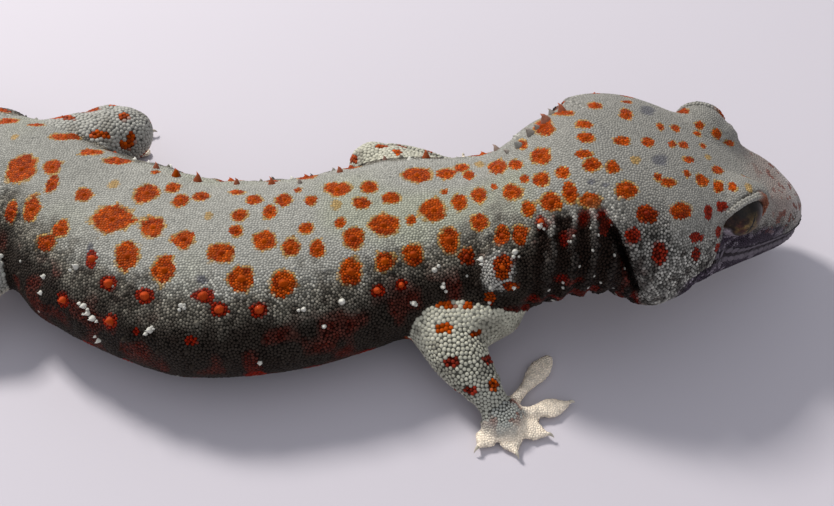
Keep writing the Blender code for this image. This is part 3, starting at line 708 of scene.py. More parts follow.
def eye_angles(head):
    """How far from the eye's middle a point in the head's frame lies: 1 is the lids' edge."""
    offset = np.c_[head[:, 0], np.abs(head[:, 1]), head[:, 2]] - EYE_CENTRE
    distance = np.maximum(np.linalg.norm(offset, axis=1), 1e-6)
    angle = np.arccos(np.clip((offset @ EYE_AXIS) / distance, -1, 1))
    turn = np.arctan2(offset @ EYE_UP, offset @ EYE_AHEAD) - OPENING_TILT
    reach = angle * np.hypot(np.cos(turn) / OPENING_LONG, np.sin(turn) / OPENING_SHORT)
    return offset, distance, reach


def shape_eyes(points):
    """Sinks the skin under each eyeball, and stands the lids out round it as a hood."""
    head = to_head(points)
    offset, distance, reach = eye_angles(head)
    near = distance < EYE_HOOD
    up = offset @ EYE_UP / distance
    crest = 0.35 + 1.05 * smoothstep(-0.15, 0.65, up)
    profile = EYE_RADIUS - 1.3 + (1.3 + crest) * smoothstep(0.90, 1.04, reach)
    share = smoothstep(1.05, 1.52, reach)
    covered = np.maximum(distance, EYE_RADIUS + LID_THICKNESS + COAT_DEPTH)
    wanted = profile + (covered - profile) * share
    wanted = wanted - 0.55 * bump(reach - 1.34, 0.06) * smoothstep(0.0, 0.5, up)
    moved = EYE_CENTRE + offset * (wanted / distance)[:, None]
    moved[:, 1] *= np.sign(head[:, 1])
    return np.where(near[:, None], to_floor(moved), points)


def bump(distance, width):
    return np.exp(-((distance / width) ** 2))


def jowl_line(where):
    """How far ahead of the fold behind the jaw a point lies, on either side of the head."""
    return where.head[:, 0] + 27.9 + 0.78 * where.head[:, 2]


def jowl_fold(where):
    """The fold behind the jaw with the ear in it, from 0 to 1 at its bottom."""
    z = where.head[:, 2]
    sides = (np.abs(where.head[:, 1]) > 13) & (where.limb == 0)
    top = np.where(where.head[:, 1] > 0, -1.0, 3.0)
    reach = smoothstep(top + 1.5, top - 1.5, z) * smoothstep(-12.5, -8.5, z)
    return bump(jowl_line(where), 1.25) * reach * sides


def head_relief(where):
    """How far the head's skin stands out, from its folds, lips, nostrils and ears."""
    x, y, z = head_axes(where)
    mouth = z - mouth_height(x)
    lips = smoothstep(MOUTH_CORNER - 2.5, MOUTH_CORNER + 0.5, x) * smoothstep(-1.0, 2.0, x * 0.25 + y)
    out = -0.7 * bump(mouth, 0.45) * lips
    out += 0.2 * (bump(mouth - 1.2, 0.9) + bump(mouth + 1.3, 0.9)) * lips
    out -= 0.8 * bump(np.hypot(x - 6, y * 1.3), 6.0) * (z > 0)
    ridge = bump(y - 6.0 - (14 - x) * 0.22, 1.5)
    out += 0.35 * ridge * smoothstep(2, 6, x) * smoothstep(20, 15, x) * (z > 0)
    nostril = nostril_gap(x, y, z)
    out += 0.3 * bump(nostril - 1.4, 0.5) - 1.1 * bump(nostril, 0.8)
    fold = jowl_fold(where)
    out -= 2.3 * fold + 1.2 * fold * bump(z + 3.0, 3.5)
    near_side = where.head[:, 1] < 0
    out += 0.7 * bump(jowl_line(where) - 3.2, 1.8) * bump(z + 3, 8) * (y > 12) * near_side
    out += 0.7 * bump(np.linalg.norm(np.c_[x + 17, y - 21, z + 10], axis=1), 7.5)
    hollow = (where.head - FAR_HOLLOW) * (1, 0.7, 0.7)
    out -= 1.7 * bump(np.linalg.norm(hollow, axis=1), 6.5)
    out -= 0.7 * bump(x + 9 + 0.3 * z, 1.6) * bump(z + 8, 3.5) * (y > 8)
    brow = np.hypot(x + 1.4, (y - 9.2) * 1.4)
    out += 0.12 * np.sin(brow * 4.6) * bump(brow - 6.5, 2.0) * (z > 5) * (y < 13)
    return out * (where.limb == 0) * smoothstep(-44, -38, x)


def shoulder_gap(points):
    return np.linalg.norm((points - SHOULDER_CENTRE) * (1, 1, 0.75), axis=1)


def shoulder_fold(points):
    """The pale fold of skin above the right arm, from 0 to 1."""
    return bump(shoulder_gap(points), 3.6)


def neck_wave(where):
    """The upright folds of the neck's sides: 1 on a crest and 0 in a groove."""
    phase = where.head[:, 0] + NECK_LEAN * where.head[:, 2] + 40.5
    phase = phase + 0.9 * noise(where.head, 5.0, 65) + 0.3 * noise(where.head, 1.6, 66)
    return 0.5 + 0.5 * np.cos(phase * 2 * math.pi / NECK_FOLD)


def neck_side(where):
    """The neck's folded sides, from the jaw to the shoulder."""
    x = where.head[:, 0] + NECK_LEAN * where.head[:, 2]
    top = np.where(where.head[:, 1] < 0, 0.88, 0.66)
    side = smoothstep(top, top - 0.16, where.rise) * smoothstep(-0.98, -0.75, where.rise)
    side = side * smoothstep(-43.5, -41.5, x) * smoothstep(0.5, -0.8, jowl_line(where))
    return side * (where.limb == 0)


def body_relief(points, where):
    """Folds of the neck, flank and limbs and the tail's rings, as heights along the normal."""
    out = neck_side(where) * (1.1 * neck_wave(where) ** 1.3 - 1.05)
    fold = shoulder_fold(points)
    out += 0.9 * fold + 0.25 * fold * noise(points, 1.5, 8)
    out -= 0.6 * bump(shoulder_gap(points) - 5.6, 1.0) * (where.rise < 0.85)
    tail_start = arc_of(place_of("vent"))
    on_tail = smoothstep(tail_start + 4, tail_start + 14, where.arc)
    taper = np.interp(where.place, SPINE_PLACES, np.clip(SPINE.half_width / 9, 0.3, 1))
    ring = (where.arc - tail_start) % TAIL_RING - TAIL_RING / 2
    out -= 0.3 * on_tail * bump(ring, 0.9) * taper
    shoulder, chest = arc_of(place_of("shoulder")), arc_of(place_of("chest"))
    on_trunk = smoothstep(shoulder, chest, where.arc) * (1 - on_tail)
    flank = bump(where.rise - 0.35, 0.5) * on_trunk
    wave = np.sin(where.arc * 2 * math.pi / FLANK_FOLD + 2 * where.rise)
    out += flank * (0.15 * wave + 0.4 * stretched_noise(where, 2.1, 9))
    out += on_trunk * (0.22 * noise(points, 9.0, 4) + 0.1 * noise(points, 2.6, 6))
    nape = smoothstep(-46, -40, where.head[:, 0]) * smoothstep(-27, -33, where.head[:, 0])
    out += 0.16 * nape * noise(np.c_[where.arc * 2.2, where.rise * 6, where.across * 6], 3.0, 7)
    out = out * (where.limb == 0)
    crook = bump(where.along - 1.0, 0.22) + bump(where.along - 2.0, 0.2)
    folds = -0.35 * crook * (0.5 + 0.5 * np.cos(where.along * 34)) + 0.22 * noise(points, 3.4, 5)
    return out + ((where.limb > 0) & (where.along < 3.0)) * folds


def stretched_noise(where, size, seed):
    """Noise that runs down the body's sides in upright streaks."""
    at = np.c_[where.arc, where.rise * 3.2, np.sign(where.across) * 40]
    return noise(at, size, seed)


def shaped_skin():
    """The skin's points, squares and where each point lies."""
    points, quads, edges = one_skin(raw_skin())
    where = locate(points)
    toes = smoothstep(2.7, 3.1, where.along)
    points = relaxed(points, edges, 0.5 * (1 - 0.8 * toes), 4)
    joints = (where.limb > 0) * smoothstep(0.75, 0.25, where.along) + (where.limb == 0) * near_roots(points)
    bends = sum(bump(where.along - at, width) for at, width in ((1, 0.25), (2, 0.3), (2.9, 0.25)))
    joints += (where.limb > 0) * bends
    head = (where.limb == 0) & (where.head[:, 0] > -14) & (where.head[:, 0] < 12)
    joints = np.clip(joints + 0.8 * head * smoothstep(0, 4, where.head[:, 2]), 0, 1)
    points = relaxed(points, edges, 0.6 * joints * (1 - 0.9 * toes), 26)
    points = shape_eyes(points)
    normals = point_normals(points, quads)
    where = locate(points)
    relief = head_relief(where) + body_relief(points, where)
    points = points + normals * relief[:, None]
    points = relaxed(points, edges, np.full(len(points), 0.25), 2)
    normals = point_normals(points, quads)
    points = points - normals * (COAT_DEPTH * (1 - 0.6 * toes))[:, None]
    points[:, 2] = np.maximum(points[:, 2], 0.05)
    return points, quads, point_normals(points, quads), locate(points)


def near_roots(points):
    """How near points of the trunk are to where a limb grows out, from 0 to 1."""
    share = np.zeros(len(points))
    for limb in LIMBS:
        root, joint = np.array(limb.root), np.array(limb.joint)
        for t in np.linspace(0.2, 1, 5):
            distance = np.linalg.norm(points - (root + (joint - root) * t), axis=1) - limb.radii[0]
            share = np.maximum(share, smoothstep(5.0, 1.5, distance))
    return share


print("building the skin")
SKIN_POINTS, SKIN_QUADS, SKIN_NORMALS, SKIN_WHERE = shaped_skin()
print("skin", len(SKIN_POINTS), len(SKIN_QUADS))
SKIN_TREE = BVHTree.FromPolygons(SKIN_POINTS.tolist(), SKIN_QUADS.tolist())


def on_skin(points):
    """The nearest points of the skin, and its smooth normals there."""
    found = np.empty_like(points)
    faces = np.empty(len(points), int)
    for i, point in enumerate(points.tolist()):
        place, _, face, _ = SKIN_TREE.find_nearest(point)
        found[i] = place
        faces[i] = face
    corners = SKIN_QUADS[faces]
    weight = 1 / (np.linalg.norm(SKIN_POINTS[corners] - found[:, None], axis=2) + 0.05)
    normals = unit(np.sum(SKIN_NORMALS[corners] * weight[..., None], axis=1))
    return found, normals


def seen_at(x, y):
    """The point of the skin that shows at a pixel of the photograph, and its normal, or None."""
    across = CAMERA_RIGHT * (x - PICTURE[0] / 2) / FOCUS
    down = CAMERA_UP * (y - PICTURE[1] / 2) / FOCUS
    ray = unit(across - down - CAMERA_BACK)
    place, normal, _, _ = SKIN_TREE.ray_cast(CAMERA_PLACE.tolist(), ray.tolist(), RAY_REACH)
    return (None, None) if place is None else (np.array(place), np.array(normal))


# A marking on the skin: its middle, normal, two half widths as vectors, and its kind.
Spot = namedtuple("Spot", "centre normal first second kind")
KINDS = ("orange", "red", "yellow", "grey")
STEEPEST = 2.6
# Skin is taken as hidden where it faces the camera less than this, and beyond the picture's left edge.
GRAZING = 0.12
PICTURE_EDGE = -82
SPOT_TRIES = 9000


def seen_spot(x, y, wide, high, kind):
    """A spot of the photograph laid onto the skin where it shows."""
    centre, normal = seen_at(x, y)
    if centre is None:
        return None
    distance = np.linalg.norm(centre - CAMERA_PLACE)
    size = distance / FOCUS
    axes = []
    for direction, half in ((CAMERA_RIGHT, wide), (CAMERA_UP, high)):
        flat = direction - normal * (direction @ normal)
        stretch = min(1 / max(np.linalg.norm(flat) ** 2, 0.05), STEEPEST)
        axes.append(flat * half * size * stretch)
    return Spot(centre, normal, axes[0], axes[1], kind)


def seen_spots():
    lists = {"orange": ORANGE, "red": RED, "yellow": YELLOW, "grey": GREY}
    found = [seen_spot(*row, kind) for kind, rows in lists.items() for row in rows]
    return [spot for spot in found if spot is not None]


def hidden_from_camera(points, normals):
    """Whether points of the skin don't show in the photograph's view."""
    hidden = np.ones(len(points), bool)
    for i, (point, normal) in enumerate(zip(points, normals)):
        way = CAMERA_PLACE - point
        sideways = (point - TARGET) @ CAMERA_RIGHT
        if unit(way) @ normal < GRAZING or sideways < PICTURE_EDGE:
            continue
        start = point + normal * 0.6
        hidden[i] = SKIN_TREE.ray_cast(start.tolist(), unit(way).tolist(), RAY_REACH)[0] is not None
    return hidden


def unseen_spots():
    """Spots for the sides that the photograph doesn't show, spread as those that it shows."""
    order = DRAW.permutation(len(SKIN_POINTS))[:SPOT_TRIES]
    where = SKIN_WHERE
    upper = (where.rise > -0.55) | (where.limb > 0)
    upper &= where.place < place_of("tail_f")
    off_toes = where.along < 3.05
    off_lids = (where.head[:, 0] < -12) | ((where.head[:, 0] < 8) & (where.rise > 0.7))
    order = order[(upper & off_toes & off_lids)[order]]
    order = order[hidden_from_camera(SKIN_POINTS[order], SKIN_NORMALS[order])]
    chosen = []
    spots = []
    for i in order:
        point = SKIN_POINTS[i]
        on_limb = where.limb[i] > 0
        on_tail = where.place[i] > place_of("vent") and not on_limb
        on_head = where.head[i, 0] > -24 and not on_limb
        spacing = 5.6 if on_limb else 6.4 if on_head else 6.8 if on_tail else 8.4
        size = spacing * DRAW.uniform(0.16, 0.27)
        if any(np.linalg.norm(point - other) < spacing for other in chosen):
            continue
        if any(np.linalg.norm(point - spot.centre) < 0.8 * spacing for spot in SPOTS):
            continue
        chosen.append(point)
        ahead = where.ahead[i] - SKIN_NORMALS[i] * (where.ahead[i] @ SKIN_NORMALS[i])
        ahead = unit(ahead)
        side = np.cross(SKIN_NORMALS[i], ahead)
        long = DRAW.uniform(0.85, 1.25)
        # Spots low on the sides are given the darker red: partly painted shade.
        kind = "red" if where.rise[i] < 0.5 and not on_limb else "orange"
        spots.append(Spot(point, SKIN_NORMALS[i], ahead * size * long, side * size / long, kind))
    return spots


SPOTS = seen_spots()
SPOTS += unseen_spots()
print("spots", len(SPOTS))


def spot_shares(points):
    """For each kind of marking, how far inside one of them each point is: over 1 is inside."""
    ragged = 1 + 0.2 * noise(points, 1.3, 21) + 0.12 * noise(points, 0.5, 22)
    inside = {kind: np.full(len(points), 9.0) for kind in KINDS}
    for spot in SPOTS:
        reach = 1.6 * max(np.linalg.norm(spot.first), np.linalg.norm(spot.second))
        close = np.flatnonzero(np.all(np.abs(points - spot.centre) < reach + 0.5, axis=1))
        offset = points[close] - spot.centre
        first = offset @ spot.first / (spot.first @ spot.first)
        second = offset @ spot.second / (spot.second @ spot.second)
        level = np.abs(offset @ spot.normal) / reach
        ratio = np.sqrt(first**2 + second**2 + level**2) * ragged[close]
        inside[spot.kind][close] = np.minimum(inside[spot.kind][close], ratio)
    return inside


def trunk_tint(points, where):
    """The trunk's colour: pale above, dark and streaked down the flanks, and pale below. The flanks' dark is
    partly their own colour and partly painted shade, darkest low on the sides.
    """
    rise = where.rise + 0.09 * noise(points, 5.0, 31) + 0.05 * noise(points, 1.2, 32)
    # Near the nape and the hip the trunk is painted darker and its dark flank reaches higher: at the hip,
    # painted shade beside the thigh.
    hip, nape = bump(where.arc - HIP_ARC, 14), bump(where.arc - NAPE_ARC, 12)
    rise = rise - 0.09 * hip - 0.05 * nape
    warmth = 0.6 * smoothstep(0.0, 0.6, noise(points, 14.0, 33)) * smoothstep(0.7, 0.95, rise)
    tint = mixed(PALE, WARM, warmth)
    rear = smoothstep(HIP_ARC - 12, HIP_ARC + 2, where.arc)
    tint = tint * (1 - 0.14 * nape - 0.13 * rear)[:, None]
    streak = smoothstep(-0.3, 0.6, 0.7 * stretched_noise(where, 1.3, 9) + 0.5 * noise(points, 1.0, 34))
    # Painted shade: the lower flank is darkened towards SHADE, with red-brown patches.
    blotch = mixed(SHADE * 0.8, RED_TINT * 0.32, smoothstep(0.1, 0.6, noise(points, 3.4, 35)))
    side = mixed(FLANK, SHADE, 0.75 * streak)
    side = mixed(side, blotch, (0.95 - 0.25 * streak) * smoothstep(0.72, 0.45, rise))
    tint = mixed(side, tint, smoothstep(0.72, 0.90, rise))
    return mixed(tint, BELLY, smoothstep(-0.72, -0.92, rise))


def head_tint(points, where):
    """The head's colour: crown, snout, temples, the dark mask, lips, nostrils and chin, with painted shade
    on the lower temples, in the nostrils and along the mouth's line.
    """
    x, y, z = head_axes(where)
    tint = mixed(CROWN, SNOUT, smoothstep(2, 14, x + 2 * noise(points, 3.0, 40)))
    tint = mixed(tint, NOSE, smoothstep(13, 18, x))
    temple = smoothstep(0.72, 0.40, where.rise + 0.1 * noise(points, 3.0, 41))
    # The lower temples' skin is mixed towards SHADE: partly their own dark colour and partly painted shade.
    rough = mixed(TEMPLE, SHADE, 0.4 + 0.48 * smoothstep(-0.1, 0.5, noise(points, 1.4, 42)))
    tint = mixed(tint, rough, temple)
    mouth = z - mouth_height(x)
    edge = 5.2 - 0.10 * (x - 4) + 0.9 * noise(points, 2.0, 44)
    mask = smoothstep(-5.5, -3.0, x) * smoothstep(0.9, -0.9, mouth - edge) * smoothstep(17.5, 13.5, x)
    mask = np.maximum(mask, smoothstep(-14, -10, x) * smoothstep(0.6, -0.3, mouth))
    tint = mixed(tint, mixed(MASK, LIP, smoothstep(0.1, 0.6, noise(points, 0.9, 45))), mask)
    lips = bump(mouth, 1.7) * smoothstep(LIP_END - 4, LIP_END, x)
    tint = mixed(tint, LIP * 0.6, 0.8 * lips)
    # Painted shade in the nostrils.
    tint = mixed(tint, SHADE * 0.3, smoothstep(1.1, 0.7, nostril_gap(x, y, z)))
    # Painted shade along the mouth's line.
    line = bump(mouth, 0.4) * smoothstep(MOUTH_CORNER - 1, MOUTH_CORNER + 2, x)
    tint = mixed(tint, SHADE * 0.4, line)
    chin = smoothstep(-3.4, -6.5, mouth) * smoothstep(-0.6, -0.85, where.rise)
    tint = mixed(tint, BELLY, chin)
    speck = smoothstep(0.28, 0.40, noise(points, 0.95, 43)) * smoothstep(5, 14, x)
    speck = speck * smoothstep(2.5, 4.5, mouth)
    return lid_tint(where, mixed(tint, SPECK, 0.85 * speck))


def lid_tint(where, tint):
    """Adds the lids' colours: pale over the eye and brown before it, with painted shade in the crease above
    the eye and round the edge of the opening.
    """
    x, _, z = head_axes(where)
    _, distance, reach = eye_angles(where.head)
    by_eye = distance < EYE_PATCH
    lid = by_eye * smoothstep(1.5, 1.28, reach)
    front = smoothstep(EYE_CENTRE[0] + 1.0, EYE_CENTRE[0] + 3.4, x)
    above = smoothstep(EYE_CENTRE[2] - 1.0, EYE_CENTRE[2] + 0.8, z)
    tint = mixed(tint, CROWN * 1.15, lid * above * (1 - front))
    # Painted shade in the crease over the lid.
    crease = by_eye * bump(reach - 1.37, 0.045) * above * (1 - front)
    tint = mixed(tint, SHADE, 0.85 * crease * smoothstep(-5.5, -3.5, x))
    tint = mixed(tint, LID_TINT, 0.85 * lid * above * front)
    # Painted shade round the opening's edge, under the lids.
    return mixed(tint, SHADE * 0.35, by_eye * smoothstep(1.06, 0.97, reach))


def limb_tint(points, where, normals):
    """The limbs' colour: pale, with dark patches, and cream toes with bands."""
    under = smoothstep(0.0, -0.6, normals[:, 2])
    hind = (where.limb > 2).astype(float)
    tint = mixed(mixed(ARM, PALE, hind), BELLY, under)
    dusk = smoothstep(0.15, 0.5, noise(points, 3.2, 51)) * smoothstep(3.4, 3.2, where.along)
    tint = mixed(tint, FLANK, 0.55 * dusk * (1 - under))
    fore = smoothstep(1.6, 2.4, where.along) * (1 - under)
    tint = mixed(tint, FOREARM, 0.7 * fore)
    brown = smoothstep(0.2, 0.45, noise(points, 1.6, 53)) * bump(where.along - 3.1, 0.4)
    tint = mixed(tint, SPECK, 0.8 * brown * (1 - under))
    palms = np.array([LIMBS[0].palm] + [limb.palm for limb in LIMBS])[where.limb]
    out = np.linalg.norm(points - palms, axis=1) + 0.5 * noise(points, 1.4, 52)
    bands = np.sin(out * 2 * math.pi / 2.1 + 1.5 * noise(points, 1.5, 54))
    cream = mixed(CREAM, PALE, 0.22 * smoothstep(0.2, 0.8, bands))
    return mixed(tint, cream, smoothstep(3.6, 5.0, out) * smoothstep(3.0, 3.2, where.along))


def tail_tint(points, where, tint):
    """Adds the tail's dark bands."""
    start = arc_of(place_of("vent"))
    on_tail = smoothstep(start + 2, start + 12, where.arc)
    wave = np.sin((where.arc - start) * 2 * math.pi / TAIL_BAND + 0.8 * noise(points, 6.0, 61))
    band = smoothstep(0.1, 0.65, wave) * smoothstep(-0.9, -0.5, where.rise)
    return mixed(tint, TAIL_DARK, 0.75 * band * on_tail)


def neck_tint(points, where, tint):
    """Dark grooves between pale crests down the sides of the neck, and the dark fold of the ear: painted
    shade in the grooves and the fold, and over the neck's lower side, where few crests stay pale.
    """
    ragged = where._replace(rise=where.rise + 0.06 * noise(points, 1.6, 63))
    side = neck_side(ragged)
    crest = smoothstep(0.70, 1.05, neck_wave(where) + 0.35 * noise(points, 1.1, 64))
    crest = crest * np.interp(where.rise, (-0.3, 0.3, 0.6, 0.85), (0.02, 0.04, 0.07, 0.6))
    # The dark of the neck's sides is painted shade, tinged red-brown.
    dusk = mixed(SHADE * 0.85, RED_TINT * 0.5, smoothstep(0.3, 0.65, noise(points, 3.0, 67)))
    tint = mixed(tint, mixed(dusk, TEMPLE, crest), side)
    # The ear's fold is painted dark: painted shade.
    return mixed(tint, SHADE * 0.4, smoothstep(0.25, 0.7, jowl_fold(where)))


def pelt_tint(points, normals, where):
    """The colour of the pelt at points of the skin, with all its markings."""
    tint = tail_tint(points, where, trunk_tint(points, where))
    tint = mixed(tint, head_tint(points, where), head_share(where))
    tint = neck_tint(points, where, tint)
    fold = smoothstep(0.25, 0.6, shoulder_fold(points) + 0.15 * noise(points, 1.0, 72))
    tint = mixed(tint, TEMPLE, 0.8 * fold * (where.limb == 0))
    tint = np.where((where.limb > 0)[:, None], limb_tint(points, where, normals), tint)
    off_toes = 1 - smoothstep(2.8, 3.2, where.along)
    inside = spot_shares(points)
    # Low on the sides the spots are painted a deeper orange, partly painted shade, and lose their pale rims;
    # on the neck's sides they are dimmed, painted shade.
    low = smoothstep(0.88, 0.66, where.rise) * (where.limb == 0)
    neck_painted_shade = 1 - 0.6 * neck_side(where)
    deep = np.clip(0.25 + 0.55 * noise(points, 0.8, 71) + 0.35 * low, 0, 1)
    halo = 0.85 * smoothstep(1.26, 1.12, inside["orange"]) * (where.limb == 0) * (1 - low)
    orange = smoothstep(1.07, 0.95, inside["orange"]) * off_toes * neck_painted_shade
    red = 0.97 * smoothstep(1.07, 0.95, inside["red"]) * off_toes * neck_painted_shade
    tint = mixed(tint, GREY_TINT, 0.8 * smoothstep(1.15, 0.6, inside["grey"]))
    tint = mixed(tint, YELLOW_TINT, 0.7 * smoothstep(1.1, 0.7, inside["yellow"]) * off_toes)
    tint = mixed(tint, mixed(YELLOW_TINT, PALE, 0.1), halo)
    tint = mixed(tint, mixed(ORANGE_TINT, ORANGE_DEEP, deep), orange)
    tint = mixed(tint, RED_TINT, red)
    return np.clip(tint, 0.002, 1)


def over_body(where, body, head, tail, limb):
    """One value out of those of the body, head, tail and limbs, blended where these meet."""
    on_tail = smoothstep(arc_of(place_of("vent")), arc_of(place_of("tail_root")), where.arc)
    value = body + (head - body) * head_share(where)
    value = value + (tail - value) * on_tail
    return np.where(where.limb > 0, limb, value)


def low_snout(where):
    return smoothstep(0.6, 0.3, where.rise) * smoothstep(2, 8, where.head[:, 0])


def painted_gap_shade(where):
    """How dark the painted shade in the gaps between the scales and at their feet is: 0 is as pale as the
    scales and 1 the darkest.
    """
    x, _, z = head_axes(where)
    body = np.interp(where.rise, (-0.95, -0.7, -0.3, 0.55, 0.85, 0.97), (0.4, 0.6, 1.0, 1.0, 0.8, 0.5))
    head = np.interp(where.rise, (-0.9, -0.6, 0.5, 0.8), (0.5, 1.0, 1.0, 0.45))
    head = head - 0.3 * low_snout(where)
    head = head * (1 - 0.6 * bump(z - mouth_height(x), 1.7) * (x > LIP_END))
    limb = np.interp(where.along, (0, 0.8, 1.2, 3.1, 3.5), (0.85, 0.85, 1.0, 1.0, 0.35))
    return over_body(where, body, head, 0.75, limb)


def relief_taper(where):
    """How wide the scales' tops are: 1 for flat plates that touch, less for separate beads."""
    body = np.interp(where.rise, (-0.95, -0.5, 0.5, 0.8, 0.95), (1.0, 0.9, 0.78, 0.84, 0.96))
    head = np.interp(where.rise, (-0.9, -0.6, 0.5, 0.8), (1.0, 0.85, 0.68, 0.98))
    limb = np.interp(where.along, (0, 0.8, 1.3, 3.2, 3.5), (1.0, 1.0, 0.76, 0.70, 1.0))
    return over_body(where, body, head, 0.95, limb)


def relief_height(where):
    """How high the scales stand, against a plain dome."""
    body = np.interp(where.rise, (-0.95, -0.7, -0.3, 0.55, 0.85, 0.97), (0.4, 0.6, 1.0, 1.15, 0.85, 0.6))
    head = np.interp(where.rise, (-0.9, -0.6, 0.5, 0.75), (0.5, 1.1, 1.45, 0.5))
    head = head - 0.5 * low_snout(where)
    limb = np.interp(where.along, (0, 0.8, 1.2, 2.6, 3.1, 3.4), (0.55, 0.6, 1.05, 1.15, 0.7, 0.45))
    return over_body(where, body, head, 0.6, limb)


def scale_spacing(where):
    """How far apart the scales grow at points of the skin, in millimetres."""
    spacing = np.interp(where.rise, (-0.95, -0.7, -0.2, 0.6, 0.95), (1.15, 0.95, 0.68, 0.56, 0.49))
    head = np.interp(where.head[:, 0], (-26, -10, 6, 20), (0.49, 0.44, 0.44, 0.46))
    head = head + 0.16 * smoothstep(0.72, 0.4, where.rise) * smoothstep(2, -4, where.head[:, 0])
    head = head + 0.25 * smoothstep(-0.6, -0.85, where.rise)
    spacing = spacing + (head - spacing) * head_share(where)
    start = arc_of(place_of("vent"))
    tail = 0.84 + 0.35 * smoothstep(-0.3, -0.8, where.rise)
    tail = tail * np.interp(where.arc, (start, ARC[-1] - 50, ARC[-1]), (1, 0.95, 0.75))
    spacing = spacing + (tail - spacing) * smoothstep(start - 6, start + 8, where.arc)
    alongs = (0, 0.4, 1.1, 2.0, 2.6, 3.0, 3.5, 4.0)
    limb = np.interp(where.along, alongs, (0.72, 0.86, 0.86, 0.74, 0.68, 0.60, 0.45, 0.42))
    return np.where(where.limb > 0, limb, spacing)


def scattered(faces, spacing, seed):
    """Points spread at random over some of the skin's squares, none nearer than the spacing."""
    used, corners = np.unique(SKIN_QUADS[faces], return_inverse=True)
    mesh = bpy.data.meshes.new("patch")
    mesh.from_pydata((SKIN_POINTS[used] * MM).tolist(), [], corners.reshape(-1, 4).tolist())
    patch = new_object("patch", mesh)
    group = bpy.data.node_groups.new("scatter", "GeometryNodeTree")
    group.interface.new_socket("Geometry", in_out="INPUT", socket_type="NodeSocketGeometry")
    group.interface.new_socket("Geometry", in_out="OUTPUT", socket_type="NodeSocketGeometry")
    start = group.nodes.new("NodeGroupInput")
    end = group.nodes.new("NodeGroupOutput")
    spread = group.nodes.new("GeometryNodeDistributePointsOnFaces")
    spread.distribute_method = "POISSON"
    spread.inputs["Distance Min"].default_value = spacing * MM
    spread.inputs["Density Max"].default_value = 5 / (spacing * MM) ** 2
    spread.inputs["Seed"].default_value = seed
    to_points = group.nodes.new("GeometryNodePointsToVertices")
    group.links.new(start.outputs[0], spread.inputs["Mesh"])
    group.links.new(spread.outputs["Points"], to_points.inputs[0])
    group.links.new(to_points.outputs[0], end.inputs[0])
    modifier = patch.modifiers.new("scatter", "NODES")
    modifier.node_group = group
    made = evaluated_mesh(patch)
    points = read_points(made)
    discard(patch)
    bpy.data.meshes.remove(made)
    bpy.data.node_groups.remove(group)
    return points


def near_pairs(points, reach):
    """Every pair of points closer than reach, found by sorting them into cells of that size."""
    cells = np.floor((points - points.min(0)) / reach).astype(np.int64) + 1
    size = cells.max(0) + 2
    key = (cells[:, 0] * size[1] + cells[:, 1]) * size[2] + cells[:, 2]
    order = np.argsort(key, kind="stable")
    in_order = key[order]
    firsts, seconds = [], []
    for offset in np.ndindex(3, 3, 3):
        step = np.array(offset) - 1
        shift = (step[0] * size[1] + step[1]) * size[2] + step[2]
        if shift < 0:
            continue
        low = np.searchsorted(in_order, key + shift, "left")
        count = np.searchsorted(in_order, key + shift, "right") - low
        first = np.repeat(np.arange(len(points)), count)
        run = np.arange(count.sum()) - np.repeat(np.cumsum(count) - count, count)
        second = order[np.repeat(low, count) + run]
        keep = first < second if shift == 0 else np.ones(len(first), bool)
        keep &= np.sum((points[first] - points[second]) ** 2, axis=1) < reach**2
        firsts.append(first[keep])
        seconds.append(second[keep])
    return np.concatenate(firsts), np.concatenate(seconds)


# The sizes in which the scales are sown, how much nearer they are sown than they end up, and
# how they are then pushed apart.
SOWN_SIZES = (0.42, 0.46, 0.50, 0.55, 0.62, 0.7, 0.8, 0.92, 1.08, 1.3)
SOWN_CLOSER = 1.14
NEIGHBOUR_GAP = 1.12
NEIGHBOUR_REACH = 1.9
PUSH_ROUNDS = 14
PUSH_SHARE = 0.34
ROUNDS_PER_SEARCH = 4
SCALES_PER_PIECE = 10500


def neighbours(points, spacing):
    """The pairs of points that may touch, and how far apart each pair ought to be."""
    first, second = near_pairs(points, NEIGHBOUR_REACH)
    wanted = NEIGHBOUR_GAP * (spacing[first] + spacing[second]) / 2
    close = np.linalg.norm(points[second] - points[first], axis=1) < 1.45 * wanted
    return first[close], second[close], wanted[close]


def lattice_turns(points, lies, sides, spacing):
    """How far each scale turns on its root so that its six sides face its neighbours."""
    first, second, _ = neighbours(points, spacing)
    apart = points[second] - points[first]
    total = np.zeros(len(points), complex)
    for start, way in ((first, apart), (second, -apart)):
        turn = np.arctan2(np.sum(way * sides[start], axis=1), np.sum(way * lies[start], axis=1))
        total += np.bincount(start, np.cos(6 * turn), len(points))
        total += 1j * np.bincount(start, np.sin(6 * turn), len(points))
    return np.angle(total) / 6


def spread_out(points, spacing, rounds):
    """Pushes points apart along the skin until they lie evenly."""
    for number in range(rounds):
        if number % ROUNDS_PER_SEARCH == 0:
            first, second, wanted = neighbours(points, spacing)
        apart = points[second] - points[first]
        distance = np.maximum(np.linalg.norm(apart, axis=1), 1e-6)
        push = np.maximum(wanted - distance, 0) * PUSH_SHARE
        step = apart / distance[:, None] * push[:, None]
        moved = np.zeros_like(points)
        for axis in range(3):
            moved[:, axis] = np.bincount(second, step[:, axis], len(points))
            moved[:, axis] -= np.bincount(first, step[:, axis], len(points))
        points, normals = on_skin(points + moved)
    return points, normals


